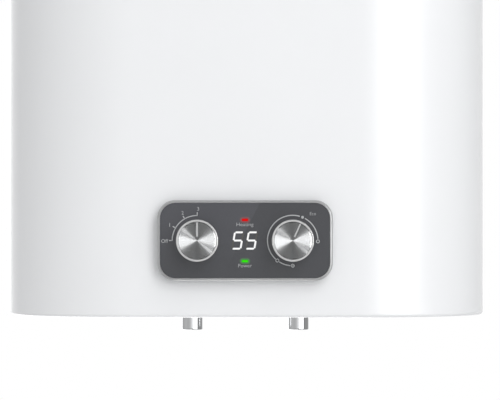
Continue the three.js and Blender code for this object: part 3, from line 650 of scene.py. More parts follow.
# Display bars: even light through a slightly grainy diffuser.
def digitFinish(name, values):
    material, tree, shader = newFinish(name)
    grain = noiseBetween(tree, objectSpace(tree), *values["grain"])
    tree.links.new(mixColours(tree, 1.0, values["colour"], grain, blend="MULTIPLY"),
                   shader.inputs["Emission Color"])
    tree.links.new(mixColours(tree, grain, *values["unlit"]), shader.inputs["Base Color"])
    setShader(shader, Emission_Strength=values["strength"], Roughness=values["roughness"])
    return material


finishes = {
    "white_enamel": enamelFinish("white_enamel", enamelValues),
    "smoked_plate": smokedFinish("smoked_plate", smokedValues),
    "zinc_steel": zincFinish("zinc_steel", zincValues),
    "foam": foamFinish("foam", foamValues),
    "circuit_board": boardFinish("circuit_board", boardValues),
    "red_lamp": windowFinish("red_lamp", "heating_lamp", (1.0, 0.0, 0.0), windowValues),
    "green_lamp": windowFinish("green_lamp", "power_lamp", (0.04, 1.0, 0.0), windowValues),
    "digit_white": digitFinish("digit_white", digitLight),
}
for name, values in brushedValues.items():
    finishes[name] = brushedFinish(name, values)
for name, values in surfaceValues.items():
    finishes[name] = surfaceFinish(name, values)
print("finishes ready:", len(finishes))


creaseAngle = 32  # edges sharper than this stay crisp


def newPiece(name, bm, finish, place=None, smooth=creaseAngle, turnNormals=True):
    if turnNormals:
        bmesh.ops.recalc_face_normals(bm, faces=bm.faces)
    if place is not None:
        bm.transform(place)
    for face in bm.faces:
        face.smooth = True
    for edge in bm.edges:  # creases and open rims stay crisp, also once a wall gets its thickness
        edge.smooth = len(edge.link_faces) == 2 and edge.calc_face_angle(0) < radians(smooth)
    mesh = bpy.data.meshes.new(name)
    bm.to_mesh(mesh)
    bm.free()
    mesh.materials.append(finish)
    piece = bpy.data.objects.new(name, mesh)
    scene.collection.objects.link(piece)
    return piece


def standFor(piece, body, slot, *nodes):
    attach(piece, body)
    if nodes:
        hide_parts(*nodes)
    return piece


# A profile of (radius, height) points in millimetres, turned about the z axis.
def turnedShape(profile, steps=64):
    bm = bmesh.new()
    verts = [bm.verts.new((r * mm, 0, h * mm)) for r, h in profile]
    ends = list(zip(verts, verts[1:]))
    if profile[0][0] > 0 and profile[-1][0] > 0:
        ends.append((verts[-1], verts[0]))
    edges = [bm.edges.new(pair) for pair in ends]
    bmesh.ops.spin(bm, geom=verts + edges, cent=(0, 0, 0), axis=(0, 0, 1), dvec=(0, 0, 0),
                   angle=2 * pi, steps=steps, use_merge=True)
    bmesh.ops.remove_doubles(bm, verts=bm.verts, dist=1e-6)
    return bm


# Rounds the corners of a turned profile. Points close to each arc keep the straight parts
# straight in shading.
def softProfile(points, radius, steps=4):
    soft = [points[0]]
    for before, corner, after in zip(points, points[1:], points[2:]):
        a, b, c = (Vector(p) for p in (before, corner, after))
        reach = min(radius, (a - b).length * 0.4, (c - b).length * 0.4)
        start, end = (a - b).normalized(), (c - b).normalized()
        soft.append(tuple(b + start * reach * 1.2))
        for i in range(steps + 1):
            t = i / steps
            soft.append(tuple(b + start * reach * (1 - t) ** 2 + end * reach * t ** 2))
        soft.append(tuple(b + end * reach * 1.2))
    soft.append(points[-1])
    return soft


def roundedSheet(width, height, radius, segments, y=0.0):
    bm = bmesh.new()
    bmesh.ops.create_grid(bm, x_segments=1, y_segments=1, size=0.5)
    bmesh.ops.scale(bm, vec=(width * mm, height * mm, 1), verts=bm.verts)
    bmesh.ops.bevel(bm, geom=bm.verts[:], offset=radius * mm, offset_type="OFFSET",
                    segments=segments, profile=0.5, affect="VERTICES", material=-1)
    bmesh.ops.translate(bm, verts=bm.verts, vec=(0, y * mm, 0))
    return bm


# A sheet with half-round ends: a round one, drawn apart at its middle.
def stadiumSheet(width, depth, segments=176):
    bm = bmesh.new()
    radius = depth / 2 / cos(pi / segments)
    bmesh.ops.create_circle(bm, cap_ends=True, radius=radius, segments=segments)
    bmesh.ops.rotate(bm, verts=bm.verts, cent=(0, 0, 0),
                     matrix=Matrix.Rotation(pi / segments, 3, "Z"))
    half = (width - depth) / 2
    right = [v for v in bm.verts if v.co.x > 0]
    bmesh.ops.translate(bm, verts=right, vec=(half, 0, 0))
    left = [v for v in bm.verts if v.co.x < -1e-9 and v.co.x > -depth]
    bmesh.ops.translate(bm, verts=left, vec=(-half, 0, 0))
    return bm


# Raises a flat sheet into a solid and gives back its new top face.
def raiseSheet(bm, height):
    made = bmesh.ops.extrude_face_region(bm, geom=bm.faces[:])
    top = [item for item in made["geom"] if isinstance(item, bmesh.types.BMFace)]
    verts = [item for item in made["geom"] if isinstance(item, bmesh.types.BMVert)]
    bmesh.ops.translate(bm, verts=verts, vec=(0, 0, height * mm))
    bmesh.ops.recalc_face_normals(bm, faces=bm.faces)
    return top[0]


def stepFace(bm, face, thickness, depth):
    bmesh.ops.inset_region(bm, faces=[face], thickness=thickness * mm, depth=depth * mm,
                           use_even_offset=True, use_boundary=True)


flatHold = 0.25  # a rim of this width keeps the shading of a flat face flat


def bevelEdges(bm, edges, width, segments=3):
    bmesh.ops.bevel(bm, geom=edges, offset=width * mm, offset_type="OFFSET", segments=segments,
                    profile=0.5, affect="EDGES", material=-1, clamp_overlap=True)
    flats = [f for f in bm.faces if abs(f.normal.z) > 0.9999 and len(f.verts) > 8]
    bmesh.ops.inset_individual(bm, faces=flats, thickness=min(flatHold, width) * mm,
                               use_even_offset=True)


def rimOf(faces):
    return list({edge for face in faces for edge in face.edges})


# Cuts other shapes out of a piece, with the result kept in its mesh.
def cutAway(piece, *tools):
    for tool in tools:
        cut = piece.modifiers.new("cut", "BOOLEAN")
        cut.operation = "DIFFERENCE"
        cut.solver = "EXACT"
        cut.object = tool
    graph = bpy.context.evaluated_depsgraph_get()
    mesh = bpy.data.meshes.new_from_object(piece.evaluated_get(graph))
    piece.modifiers.clear()
    old = piece.data
    piece.data = mesh
    bpy.data.meshes.remove(old)
    for tool in tools:
        bpy.data.objects.remove(tool)
    mesh.shade_smooth()
    mesh.set_sharp_from_angle(angle=radians(creaseAngle))
    return piece


def cutter(bm, place):
    return newPiece("cutter", bm, finishes["black_plastic"], place)


# An upright rod to cut a hole in the casing's pieces.
def rodCutter(radius, low, high, x, y, steps=48):
    bm = turnedShape([(0, low), (radius, low), (radius, high), (0, high)], steps)
    bmesh.ops.translate(bm, verts=bm.verts, vec=(x, y, 0))
    return cutter(bm, casingPlace)


def addInto(bm, other):
    mesh = bpy.data.meshes.new("part")
    other.to_mesh(mesh)
    other.free()
    bm.from_mesh(mesh)
    bpy.data.meshes.remove(mesh)


# A turned piece that stands where a round node is.
def turnedPiece(name, node, finish, profile, steps):
    middle = roundNode(node)[0]
    bm = turnedShape(profile, steps)
    bmesh.ops.translate(bm, verts=bm.verts, vec=(middle.x, middle.y, 0))
    return newPiece(name, bm, finishes[finish], casingPlace)


casingValues = {
    "edge": 3.0,
    "edgeSteps": 6,
    "lip": 10.0,
    "sheet": 1.2,
    "sideHold": 2.0,  # lines this far from the round sides and edges hold the shading of the flats
    "endHold": 1.0,
    "window": (150, 60),  # the opening behind the panel
}


# Two upright and two level cutting planes, each as a point and a normal.
def cuttingPlanes(left, right, low, high):
    return [((left, 0, 0), (1, 0, 0)), ((right, 0, 0), (1, 0, 0)),
            ((0, 0, low), (0, 0, 1)), ((0, 0, high), (0, 0, 1))]


def makeCasing(values):
    width, depth, height = (jacketHigh - jacketLow)
    bm = stadiumSheet(width, depth)
    top = raiseSheet(bm, height / mm)
    ends = [top] + [f for f in bm.faces if f.normal.z < -0.9]
    bevelEdges(bm, rimOf(ends), values["edge"], segments=values["edgeSteps"])
    ends = [f for f in bm.faces if abs(f.normal.z) > 0.999 and len(f.verts) > 8]
    lip = (values["lip"] - values["edge"]) * mm
    bmesh.ops.inset_individual(bm, faces=ends, thickness=lip, use_even_offset=True)
    bmesh.ops.delete(bm, geom=ends, context="FACES")

    flat = (width - depth) / 2 - values["sideHold"] * mm
    near = (values["edge"] + values["endHold"]) * mm
    for point, normal in cuttingPlanes(-flat, flat, near, height - near):
        geom = bm.verts[:] + bm.edges[:] + bm.faces[:]
        bmesh.ops.bisect_plane(bm, geom=geom, plane_co=point, plane_no=normal)

    halfWide, halfTall = (size * mm / 2 for size in values["window"])
    middle = panelMiddle.z - casingMiddle.z
    for point, normal in cuttingPlanes(-halfWide, halfWide, middle - halfTall, middle + halfTall):
        front = [f for f in bm.faces if f.normal.y < -0.999 and f.calc_area() > 1e-4
                 and abs(f.calc_center_median().x) < flat]
        edges = list({e for f in front for e in f.edges})
        verts = list({v for f in front for v in f.verts})
        bmesh.ops.bisect_plane(bm, geom=front + edges + verts, plane_co=point, plane_no=normal)
    window = [f for f in bm.faces if f.normal.y < -0.999
              and abs(f.calc_center_median().x) < halfWide
              and abs(f.calc_center_median().z - middle) < halfTall]
    bmesh.ops.delete(bm, geom=window, context="FACES")
    piece = newPiece("casing", bm, finishes["white_enamel"], casingPlace, turnNormals=False)
    sheet = piece.modifiers.new("sheet", "SOLIDIFY")
    sheet.thickness = values["sheet"] * mm
    sheet.offset = -1
    return standFor(piece, "heater", "white_enamel", "jacket")


capValues = {
    "gap": 0.6,
    "recess": 0.6,
    "thickness": 4.0,
    "edge": 0.9,
    "fieldInset": 14.0,  # from the cap's rim to its shallow middle field
    "fieldSlope": 0.8,
    "fieldStep": 0.7,
    "collarHole": 11.6,
    "coverGap": 0.4,
    "grommetHole": 7.2,
    "holeReach": (-2, 12),  # from the casing's bottom edge up
}


# The end cap fills the casing's mouth, with a shallow step round its middle field.
def capShape(values):
    width, depth, _ = (jacketHigh - jacketLow)
    inset = 2 * (casingValues["lip"] + values["gap"]) * mm
    bm = stadiumSheet(width - inset, depth - inset)
    top = raiseSheet(bm, values["thickness"])
    bevelEdges(bm, rimOf([top]), values["edge"], segments=4)
    field = max((f for f in bm.faces if f.normal.z > 0.999), key=lambda f: f.calc_area())
    stepFace(bm, field, values["fieldInset"], 0)
    stepFace(bm, field, values["fieldSlope"], -values["fieldStep"])
    return bm


def makeTopCap(values):
    bm = capShape(values)
    lift = (jacketHigh - jacketLow).z - (values["recess"] + values["thickness"]) * mm
    place = casingPlace @ Matrix.Translation((0, 0, lift))
    piece = newPiece("topCap", bm, finishes["white_plastic"], place)
    return standFor(piece, "heater", "white_plastic", "top_cap")


def makeBottomCap(values):
    bm = capShape(values)
    lift = (values["recess"] + values["thickness"]) * mm
    place = casingPlace @ Matrix.Translation((0, 0, lift)) @ Matrix.Rotation(pi, 4, "X")
    piece = newPiece("bottomCap", bm, finishes["white_plastic"], place)
    holes = [(node, values["collarHole"], 48) for node in ("cold_collar", "hot_collar")]
    for node in ("left_access_cover", "right_access_cover"):
        holes.append((node, roundNode(node)[1] + values["coverGap"], 96))
    holes.append(("cable_grommet", values["grommetHole"], 48))
    tools = []
    for node, radius, steps in holes:
        middle = roundNode(node)[0]
        tools.append(rodCutter(radius, *values["holeReach"], middle.x, middle.y, steps))
    cutAway(piece, *tools)
    return standFor(piece, "heater", "white_plastic", "bottom_cap")


coverValues = {
    "thickness": 2.2,
    "crown": 1.2,  # how far its inside bulges
    "dish": 0.9,
    "dishRim": (0.78, 0.82),  # shares of the radius at which the dish rises to the rim
    "field": 0.30,  # the plain middle, as a share of the radius
    "ribs": 3,
    "firstRib": 0.36,
    "ribPitch": 0.13,
    "ribHeight": 0.5,
    "ribEdges": (0.8, 2.2, 3.0),  # where it is up, starts down and ends
    "notch": 5.0,  # finger notch at the rim
    "notchDepth": 1.2,
    "screwHole": 3.8,
    "screwHoleDepth": 1.0,
    "soft": 0.5,
}


def makeCover(name, node, screwNode, values):
    middle, radius, front, _ = roundNode(node)
    dish, raised = front + values["dish"], front + values["dish"] - values["ribHeight"]
    rise, fall, end = values["ribEdges"]
    profile = [(0, dish), (radius * values["field"], dish)]
    for i in range(values["ribs"]):  # low rings pressed into the cover
        at = radius * (values["firstRib"] + values["ribPitch"] * i)
        profile += [(at, dish), (at + rise, raised), (at + fall, raised), (at + end, dish)]
    inside = front + values["thickness"]
    dishEnd, rimStart = values["dishRim"]
    profile += [(radius * dishEnd, dish), (radius * rimStart, front), (radius, front),
                (radius, inside), (0, inside + values["crown"])]
    piece = turnedPiece(name, node, "white_plastic", softProfile(profile, values["soft"], 3), 96)
    screw = middleOf(screwNode) - casingMiddle
    notch = rodCutter(values["notch"], front - 2, front + values["notchDepth"],
                      middle.x, middle.y + radius * mm)
    hole = rodCutter(values["screwHole"], front - 2, front + values["screwHoleDepth"],
                     screw.x, screw.y)
    cutAway(piece, notch, hole)
    return standFor(piece, "heater", "white_plastic", node)


screwValues = {
    "head": 3.4,
    "headHeight": 1.9,
    "crown": (0.55, 0.15),  # its share of the head's radius, and its drop
    "headEdge": 0.9,
    "shank": 1.7,
    "point": 2,
    "soft": 0.4,
    "slot": (4.4, 0.9, 2.2),
    "slotTurn": 0.35,
}


def makeScrew(name, node, values):
    middle, _, head, end = roundNode(node)
    radius, under = values["head"], head + values["headHeight"]
    share, drop = values["crown"]
    shank = values["shank"]
    profile = [(0, head), (radius * share, head + drop), (radius, head + values["headEdge"]),
               (radius, under), (shank, under), (shank, end - values["point"]), (0, end)]
    piece = turnedPiece(name, node, "zinc_steel", softProfile(profile, values["soft"], 3), 32)
    tools = []
    for turn in (0, quarter):
        bm = bmesh.new()
        bmesh.ops.create_cube(bm, size=1)
        bmesh.ops.scale(bm, vec=[side * mm for side in values["slot"]], verts=bm.verts)
        bmesh.ops.rotate(bm, verts=bm.verts, cent=(0, 0, 0),
                         matrix=Matrix.Rotation(turn + values["slotTurn"], 3, "Z"))
        bmesh.ops.translate(bm, verts=bm.verts, vec=(middle.x, middle.y, head * mm))
        tools.append(cutter(bm, casingPlace))
    cutAway(piece, *tools)
    return standFor(piece, "heater", "zinc_steel", node)


pipeValues = {"bore": 7.5, "boreDepth": 4, "edge": 1.4}


def makePipe(name, node, values):
    _, radius, mouth, top = roundNode(node)
    bore = values["bore"]
    profile = softProfile([(bore, mouth + values["boreDepth"]), (bore, mouth), (radius, mouth),
                           (radius, top)], values["edge"], 6) + [(bore, top)]
    piece = turnedPiece(name, node, "chrome", profile, 72)
    return standFor(piece, "heater", "chrome", node)


collarValues = {
    "bore": 10.75,
    "boreEdge": (0.5, 0.8),  # across and up
    "flange": 13.0,
    "flangeEdge": (0.5, 0.9),
    "flangeHeight": 1.7,
    "sleeve": 11.1,
    "soft": 0.35,
}


def makeCollar(name, node, finish, values):
    _, _, bottom, top = roundNode(node)
    bore, flange, sleeve = values["bore"], values["flange"], values["sleeve"]
    boreAcross, boreUp = values["boreEdge"]
    flangeAcross, flangeUp = values["flangeEdge"]
    upper = bottom + values["flangeHeight"]
    profile = [(bore, bottom + boreUp), (bore + boreAcross, bottom),
               (flange - flangeAcross, bottom), (flange, bottom + flangeUp), (flange, upper),
               (sleeve, upper), (sleeve, top), (bore, top)]
    piece = turnedPiece(name, node, finish, softProfile(profile, values["soft"], 3), 64)
    return standFor(piece, "heater", finish, node)


grommetValues = {
    "bore": 4.5,
    "boreEdge": (0.9, 1.0),  # across and up
    "flange": 10.4,
    "flangeEdge": (1.2, 1.0),
    "flangeHeight": 1.9,
    "sleeve": 6.9,
    "barb": (0.6, 1.2, 1.4),  # less than the flange, and its widest point and start below the top
    "soft": 0.4,
}


def makeGrommet(values):
    node = "cable_grommet"
    _, _, bottom, top = roundNode(node)
    bore, flange, sleeve = values["bore"], values["flange"], values["sleeve"]
    boreAcross, boreUp = values["boreEdge"]
    flangeAcross, flangeUp = values["flangeEdge"]
    upper = bottom + values["flangeHeight"]
    less, widest, start = values["barb"]
    profile = [(bore, bottom + boreUp), (bore + boreAcross, bottom),
               (flange - flangeAcross, bottom), (flange, bottom + flangeUp), (flange, upper),
               (sleeve, upper), (sleeve, top - start), (flange - less, top - widest),
               (sleeve, top), (bore, top)]
    piece = turnedPiece("cableGrommet", node, "black_rubber",
                        softProfile(profile, values["soft"], 3), 48)
    return standFor(piece, "heater", "black_rubber", node)


bezelValues = {
    "corner": 17.6,
    "slope": 1.45,  # width of the sloping outer band
    "fall": 1.6,  # how far the outer band falls away
    "land": 1.25,  # width of the inner band
    "crest": 0.04,  # the last of the rise, at the land's outer edge
    "step": 0.15,  # at the land's inner edge
    "well": 1.2,  # how far the opening goes straight down, from the back
    "soft": 0.22,
}


def makeBezel(values):
    width, height = (bezelHigh.x - bezelLow.x) / mm, (bezelHigh.z - bezelLow.z) / mm
    proud = (panelMiddle.y - bezelLow.y) / mm
    back = (panelMiddle.y - bezelHigh.y) / mm
    bm = roundedSheet(width, height, values["corner"], 16)
    bmesh.ops.translate(bm, verts=bm.verts, vec=(0, 0, back * mm))
    face = raiseSheet(bm, proud - back - values["fall"])
    soft, crest, step = values["soft"], values["crest"], values["step"]
    stepFace(bm, face, soft * 0.6, soft)
    stepFace(bm, face, values["slope"] - soft * 1.2, values["fall"] - soft - crest)
    stepFace(bm, face, soft * 0.6, crest)
    stepFace(bm, face, values["land"] - step, 0)
    stepFace(bm, face, step, -step)
    raised = bmesh.ops.extrude_face_region(bm, geom=[face])
    inner = [item for item in raised["geom"] if isinstance(item, bmesh.types.BMVert)]
    bmesh.ops.translate(bm, verts=inner, vec=(0, 0, -(proud - back - values["well"]) * mm))
    bmesh.ops.delete(bm, geom=[f for f in (face,) if f.is_valid], context="FACES_ONLY")
    floor = [item for item in raised["geom"] if isinstance(item, bmesh.types.BMFace)][0]
    bottom = min(bm.faces, key=lambda f: f.calc_center_median().z)
    loops = list(floor.edges) + list(bottom.edges)
    bmesh.ops.delete(bm, geom=[floor, bottom], context="FACES_ONLY")
    bmesh.ops.bridge_loops(bm, edges=loops)
    piece = newPiece("panelBezel", bm, finishes["satin_silver"], panelPlace, smooth=24)
    return standFor(piece, "heater", "satin_silver", "panel_bezel")


plateValues = {"gap": 0.05, "edge": 0.15}
plateFront = (panelMiddle.y - plateLow.y) / mm


def makePlate(values):
    rim = bezelValues["slope"] + bezelValues["land"] + values["gap"]
    width = (bezelHigh.x - bezelLow.x) / mm - 2 * rim
    height = (bezelHigh.z - bezelLow.z) / mm - 2 * rim
    thickness = (plateHigh.y - plateLow.y) / mm
    bm = roundedSheet(width, height, bezelValues["corner"] - rim, 16)
    bmesh.ops.translate(bm, verts=bm.verts, vec=(0, 0, (plateFront - thickness) * mm))
    top = raiseSheet(bm, thickness)
    bevelEdges(bm, rimOf([top]), values["edge"], 3)
    piece = newPiece("panelPlate", bm, finishes["smoked_plate"], panelPlace)
    return standFor(piece, "heater", "smoked_plate", "panel_plate")


printHeight = 0.05
printSink = 0.01  # how far the print reaches into the plate


# Gives a flat print its height and puts it on the plate.
def finishPrint(shape, x, y):
    made = bmesh.ops.extrude_face_region(shape, geom=shape.faces[:])
    verts = [item for item in made["geom"] if isinstance(item, bmesh.types.BMVert)]
    bmesh.ops.translate(shape, verts=verts, vec=(0, 0, printHeight * mm))
    place = (x * mm, y * mm, (plateFront - printSink) * mm)
    bmesh.ops.translate(shape, verts=shape.verts, vec=place)


# A flat arc between two clock angles, in degrees from the top and clockwise.
def arcStrip(bm, radius, width, fromAngle, toAngle, x, y):
    strip = bmesh.new()
    start = quarter - radians(fromAngle)
    ends = [strip.verts.new(((radius + off) * mm * cos(start), (radius + off) * mm * sin(start), 0))
            for off in (-width / 2, width / 2)]
    edge = strip.edges.new(ends)
    steps = max(4, round(abs(toAngle - fromAngle) / 4))
    full = abs(toAngle - fromAngle) > 359
    bmesh.ops.spin(strip, geom=ends + [edge], cent=(0, 0, 0), axis=(0, 0, -1), dvec=(0, 0, 0),
                   angle=radians(toAngle - fromAngle), steps=steps, use_merge=full)
    finishPrint(strip, x, y)
    addInto(bm, strip)


def barStrip(bm, length, width, x, y, turn=0.0, corner=None):
    bar = roundedSheet(length, width, corner, 4) if corner else roundedSheet(length, width, 0.02, 1)
    bmesh.ops.rotate(bar, verts=bar.verts, cent=(0, 0, 0), matrix=Matrix.Rotation(turn, 3, "Z"))
    finishPrint(bar, x, y)
    addInto(bm, bar)


def discStrip(bm, radius, x, y):
    disc = bmesh.new()
    bmesh.ops.create_circle(disc, cap_ends=True, radius=radius * mm, segments=24)
    finishPrint(disc, x, y)
    addInto(bm, disc)


# Printed words on a baseline, of a given capital height and, where it matters, a given width.
def addWords(bm, words, x, baseline, capital, width=None):
    curve = bpy.data.curves.new("words", "FONT")
    curve.body = words
    curve.size = capital * 1.4 * mm
    curve.align_x = "CENTER"
    curve.extrude = printHeight * mm / 2
    curve.resolution_u = 4
    holder = bpy.data.objects.new("words", curve)
    scene.collection.objects.link(holder)
    graph = bpy.context.evaluated_depsgraph_get()
    mesh = bpy.data.meshes.new_from_object(holder.evaluated_get(graph))
    across = [v.co.x for v in mesh.vertices]
    tall = capital * mm / max(v.co.y for v in mesh.vertices)
    wide = width * mm / (max(across) - min(across)) if width else tall
    middle = (max(across) + min(across)) / 2 * wide
    fit = Matrix.Diagonal((wide, tall, 1, 1))
    height = (plateFront + printHeight / 2 - printSink) * mm
    mesh.transform(Matrix.Translation((x * mm - middle, baseline * mm, height)) @ fit)
    bm.from_mesh(mesh)
    bpy.data.meshes.remove(mesh)
    bpy.data.objects.remove(holder)
    bpy.data.curves.remove(curve)


def clockPoint(radius, angle, x):
    a = quarter - radians(angle)
    return x + radius * cos(a), radius * sin(a)


def knobAcross(side):
    return (middleOf(f"{side}_knob") - panelMiddle).x / mm


powerScaleValues = {
    "radius": 23.95,
    "line": 0.95,
    "arc": (268.9, 361.1),
    "tick": 3.1,
    # clock angle, words, and their place right of and above the knob's middle
    "marks": [(270, "Off", -31.1, -2.1), (300, "1", -26.3, 13.2), (330, "2", -14.0, 24.7),
              (0, "3", 0.9, 28.6)],
    "capital": 3.3,
    "offWidth": 6.5,
}


def makePowerScale(values):
    bm = bmesh.new()
    x = knobAcross("power")
    radius, line, tick = values["radius"], values["line"], values["tick"]
    arcStrip(bm, radius, line, *values["arc"], x, 0)
    for angle, words, wordX, baseline in values["marks"]:
        tickX, tickY = clockPoint(radius + tick / 2, angle, x)
        barStrip(bm, tick, line, tickX, tickY, quarter - radians(angle))
        width = values["offWidth"] if len(words) > 1 else None
        addWords(bm, words, x + wordX, baseline, values["capital"], width)
    piece = newPiece("powerScale", bm, finishes["print_white"], panelPlace)
    return standFor(piece, "heater", "pointer_white")


temperatureScaleValues = {
    "radius": 24.1,
    "line": 1.0,
    "arcs": [(185.5, 212.3), (222.5, 376.2), (388.9, 446.2)],
    "rings": [180, 217.6, 92],
    "ring": 1.45,
    "ringLine": 0.75,
    "slash": (3.4, 0.6),  # through the first ring
    "dot": 22.9,
    "dotRadius": 1.35,
    "label": ("Eco", 19.3, 24.2),  # words, place right of and above the knob's middle
    "labelCapital": 2.9,
}


def makeTemperatureScale(values):
    bm = bmesh.new()
    x = knobAcross("temperature")
    radius = values["radius"]
    for fromAngle, toAngle in values["arcs"]:
        arcStrip(bm, radius, values["line"], fromAngle, toAngle, x, 0)
    for angle in values["rings"]:
        ringX, ringY = clockPoint(radius, angle, x)
        arcStrip(bm, values["ring"], values["ringLine"], 0, 360, ringX, ringY)
    slashX, slashY = clockPoint(radius, values["rings"][0], x)
    barStrip(bm, *values["slash"], slashX, slashY, radians(45))
    dotX, dotY = clockPoint(radius, values["dot"], x)
    discStrip(bm, values["dotRadius"], dotX, dotY)
    piece = newPiece("temperatureScale", bm, finishes["print_white"], panelPlace)
    standFor(piece, "heater", "pointer_white")
    bm = bmesh.new()
    words, labelX, labelY = values["label"]
    addWords(bm, words, x + labelX, labelY, values["labelCapital"])
    label = newPiece("temperatureLabel", bm, finishes["print_grey"], panelPlace)
    return standFor(label, "heater", "pointer_white")


lampValues = {
    "width": 6.1,
    "height": 2.6,
    "corner": 0.42,  # as a share of the height
    "edge": 0.2,
    "proud": 0.2,
    "root": 1.5,  # how deep it stands in the plate
    "capital": 3.2,
    "drop": 5.9,  # from a lamp's middle to the baseline of its word
    "lamps": [("heatingLamp", "heating_lamp", "red_lamp", "Heating", 16.3),
              ("powerLamp", "power_lamp", "green_lamp", "Power", 12.9)],  # last the word's width
}


def makeLamps(values):
    printed = bmesh.new()
    root, height = values["root"], values["height"]
    for name, node, finish, words, width in values["lamps"]:
        middle = (middleOf(node) - panelMiddle).z / mm
        bm = roundedSheet(values["width"], height, height * values["corner"], 8, y=middle)
        bmesh.ops.translate(bm, verts=bm.verts, vec=(0, 0, (plateFront - root) * mm))
        top = raiseSheet(bm, root + values["proud"])
        bevelEdges(bm, rimOf([top]), values["edge"], 3)
        piece = newPiece(name, bm, finishes[finish], panelPlace)
        standFor(piece, "heater", finish, node)
        addWords(printed, words, 0, middle - values["drop"], values["capital"], width)
    piece = newPiece("lampWords", printed, finishes["print_grey"], panelPlace)
    return standFor(piece, "heater", "pointer_white")


digitValues = {
    "middles": [-6.9, 6.3],
    "width": 8.0,  # between the lines of the upright bars
    "height": 15.6,
    "level": 7.2,  # length of a level bar
    "upright": 7.3,
    "bar": 1.75,
    "corner": 0.42,  # as a share of the bar's width
    "lean": 0.17,  # how far the digit leans for its height
    "lit": "afgcd",
    "unlitSink": 0.02,
}


# Seven bars a digit, named a to g clockwise from the top with g in the middle.
def makeDigits(values):
    half, tall, bar = values["width"] / 2, values["height"] / 2, values["bar"]
    bars = {"a": (0, tall, 0), "b": (half, tall / 2, 1), "c": (half, -tall / 2, 1),
            "d": (0, -tall, 0), "e": (-half, -tall / 2, 1), "f": (-half, tall / 2, 1),
            "g": (0, 0, 0)}
    shapes = {True: bmesh.new(), False: bmesh.new()}
    for middle in values["middles"]:
        for key, (x, y, upright) in bars.items():
            length = values["upright"] if upright else values["level"]
            barStrip(shapes[key in values["lit"]], length, bar, middle + x, y, quarter * upright,
                     bar * values["corner"])
    lean = Matrix.Identity(4)
    lean[0][1] = values["lean"]
    for shape in shapes.values():
        bmesh.ops.transform(shape, matrix=lean, verts=shape.verts)
    sink = (0, 0, -values["unlitSink"] * mm)
    bmesh.ops.translate(shapes[False], verts=shapes[False].verts, vec=sink)
    lit = newPiece("displayDigits", shapes[True], finishes["digit_white"], panelPlace)
    standFor(lit, "heater", "pointer_white")
    unlit = newPiece("unlitSegments", shapes[False], finishes["unlit_segment"], panelPlace)
    return standFor(unlit, "heater", "smoked_plate")


knobValues = {
    "ring": 1.8,  # width of the bright rim round the face
    "ringDrop": 0.5,
    "edge": 1.0,
    "seat": 1.9,  # from the rim down to the floor under the face
    "bore": 3.2,
    "grooves": 2,
    "firstGroove": 3.2,
    "groovePitch": 1.6,
    "grooveDepth": 0.35,
    "faceDrop": 0.25,
    "faceGap": 0.12,
    "dish": 0.22,
    # width, length, and start from the knob's middle
    "pointer": {"power": (1.7, 13.4, 4.0), "temperature": (1.35, 13.4, 4.0)},
    "pointerHeight": 0.95,
    "pointerRoot": 0.88,  # how deep it stands in the face
    "slotGap": 0.35,
    "slotDepth": 0.9,
}


def knobPlace(side):
    return panelPlace @ Matrix.Translation((knobAcross(side) * mm, 0, 0))


def makeKnob(side, restAngle, values):
    body = f"{side}_knob_body"
    low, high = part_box(f"{side}_knob")
    radius = (high.z - low.z) / 2 / mm
    front, back = (panelMiddle.y - low.y) / mm, (panelMiddle.y - high.y) / mm
    inner, floor = radius - values["ring"], front - values["seat"]
    bore, edge = values["bore"], values["edge"]
    outside = [(inner - 2.5, back + 0.6), (radius - 0.9, back), (radius - 0.2, back + 1.0)]
    for i in range(values["grooves"]):
        at = back + values["firstGroove"] + values["groovePitch"] * i
        deep = radius - values["grooveDepth"]
        outside += [(radius, at), (deep, at + 0.3), (deep, at + 0.6), (radius, at + 0.9)]
    outside += [(radius, front - edge)]
    rim = softProfile([(radius, front - edge - 0.2), (radius, front), (inner, front),
                       (inner, front - values["ringDrop"])], edge, 6)
    profile = outside + rim + [(inner, floor), (bore, floor), (bore, back + 0.6)]
    bm = turnedShape(profile, 96)
    ring = newPiece(f"{side}Knob", bm, finishes["pearl_chrome"], knobPlace(side), smooth=40)
    standFor(ring, body, "chrome", f"{side}_knob")

    top, reach = front - values["faceDrop"], inner - values["faceGap"]
    dish = [(0, top - values["dish"]), (inner * 0.5, top - 0.12), (inner - 0.6, top),
            (reach, top - 0.25), (reach, floor + 0.1), (0, floor + 0.1)]
    bm = turnedShape(softProfile(dish, 0.3, 3), 128)
    middle = panelMiddle + Vector((knobAcross(side) * mm, 0, 0))
    face = newPiece(f"{side}KnobFace", bm, spunFinish(f"spun_{side}", middle, spunValues),
                    knobPlace(side))
    width, length, start = values["pointer"][side]
    turn = Matrix.Rotation(-radians(restAngle), 4, "Z")
    gap = values["slotGap"]
    slot = roundedSheet(width + 2 * gap, length + 2 * gap, (width + 0.6) * 0.3, 4,
                        y=start + length / 2)
    bmesh.ops.translate(slot, verts=slot.verts, vec=(0, 0, (top - values["slotDepth"]) * mm))
    raiseSheet(slot, 4)
    cutAway(face, cutter(slot, knobPlace(side) @ turn))
    standFor(face, body, "spun_metal", f"{side}_knob_face")

    bm = roundedSheet(width, length, width * 0.3, 5, y=start + length / 2)
    bmesh.ops.translate(bm, verts=bm.verts, vec=(0, 0, (top - values["pointerRoot"]) * mm))
    bevelEdges(bm, rimOf([raiseSheet(bm, values["pointerHeight"])]), 0.15, 3)
    pointer = newPiece(f"{side}KnobPointer", bm, finishes["pointer_white"], knobPlace(side) @ turn)
    return standFor(pointer, body, "pointer_white", f"{side}_knob_pointer")


fixingValues = {
    "edges": {"hangerBracket": 0.5, "lowerSpacer": 0.5, "bracketBolt1": 0.4, "bracketBolt2": 0.4},
    "edgeSteps": 3,
    "flatWithin": 1.5,  # faces closer in angle than this are one face
    "roundFrom": 40,  # edges sharper than this are rounded
}


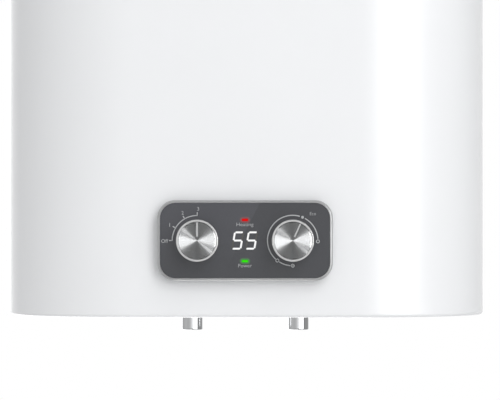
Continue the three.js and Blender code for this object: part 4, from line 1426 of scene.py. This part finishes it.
# A finer stand-in for a pressed or machined node: the same shape with its sharp edges rounded.
def makeFiner(name, node, finish, values):
    bm = bmesh.new()
    bm.from_mesh(frame["nodes"][node].data)
    bmesh.ops.remove_doubles(bm, verts=bm.verts, dist=2e-6)
    bmesh.ops.dissolve_limit(bm, angle_limit=radians(values["flatWithin"]), verts=bm.verts,
                             edges=bm.edges)
    sharp = values["roundFrom"]
    piece = newPiece(name, bm, finishes[finish], turnNormals=False, smooth=sharp)
    soften = piece.modifiers.new("edges", "BEVEL")
    soften.width = values["edges"][name] * mm
    soften.segments = values["edgeSteps"]
    soften.limit_method = "ANGLE"
    soften.angle_limit = radians(sharp)
    return standFor(piece, "heater", finish, node)


addCamera(cameraValues)
for lightName in ("key", "fill"):
    addSoftbox(lightName, lightValues[lightName])
addWorld(studioValues, lightValues["ambient"], lightValues["fromAbove"])
addFloor(floorValues)
print("studio ready")

makeCasing(casingValues)
makeTopCap(capValues)
makeBottomCap(capValues)
for side in ("left", "right"):
    makeCover(f"{side}AccessCover", f"{side}_access_cover", f"{side}_access_screw", coverValues)
    makeScrew(f"{side}AccessScrew", f"{side}_access_screw", screwValues)
print("casing ready")

makePipe("coldInlet", "cold_inlet_nipple", pipeValues)
makePipe("hotOutlet", "hot_outlet_nipple", pipeValues)
makeCollar("coldCollar", "cold_collar", "blue_plastic", collarValues)
makeCollar("hotCollar", "hot_collar", "red_plastic", collarValues)
makeGrommet(grommetValues)
print("connections ready")

makeBezel(bezelValues)
makePlate(plateValues)
makePowerScale(powerScaleValues)
makeTemperatureScale(temperatureScaleValues)
makeLamps(lampValues)
makeDigits(digitValues)
makeKnob("power", 0, knobValues)
makeKnob("temperature", 24, knobValues)
print("panel ready")

makeFiner("hangerBracket", "hanger_bracket", "zinc_steel", fixingValues)
makeFiner("lowerSpacer", "lower_spacer", "zinc_steel", fixingValues)
makeFiner("bracketBolt1", "bracket_bolt_1", "zinc_steel", fixingValues)
makeFiner("bracketBolt2", "bracket_bolt_2", "zinc_steel", fixingValues)
print("wall fixing ready")

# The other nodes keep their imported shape, with a finish that follows the record's slot.
otherFinish = {"spun_metal": "satin_silver"}
for part in frame["record"]["subparts"]:
    node = frame["nodes"][part["node"]]
    if node.hide_render:
        continue
    slotName = part["material_slot"]
    finish = finishes[otherFinish.get(slotName, slotName)]
    for materialSlot in node.material_slots:
        materialSlot.material = finish
print("inner parts ready")
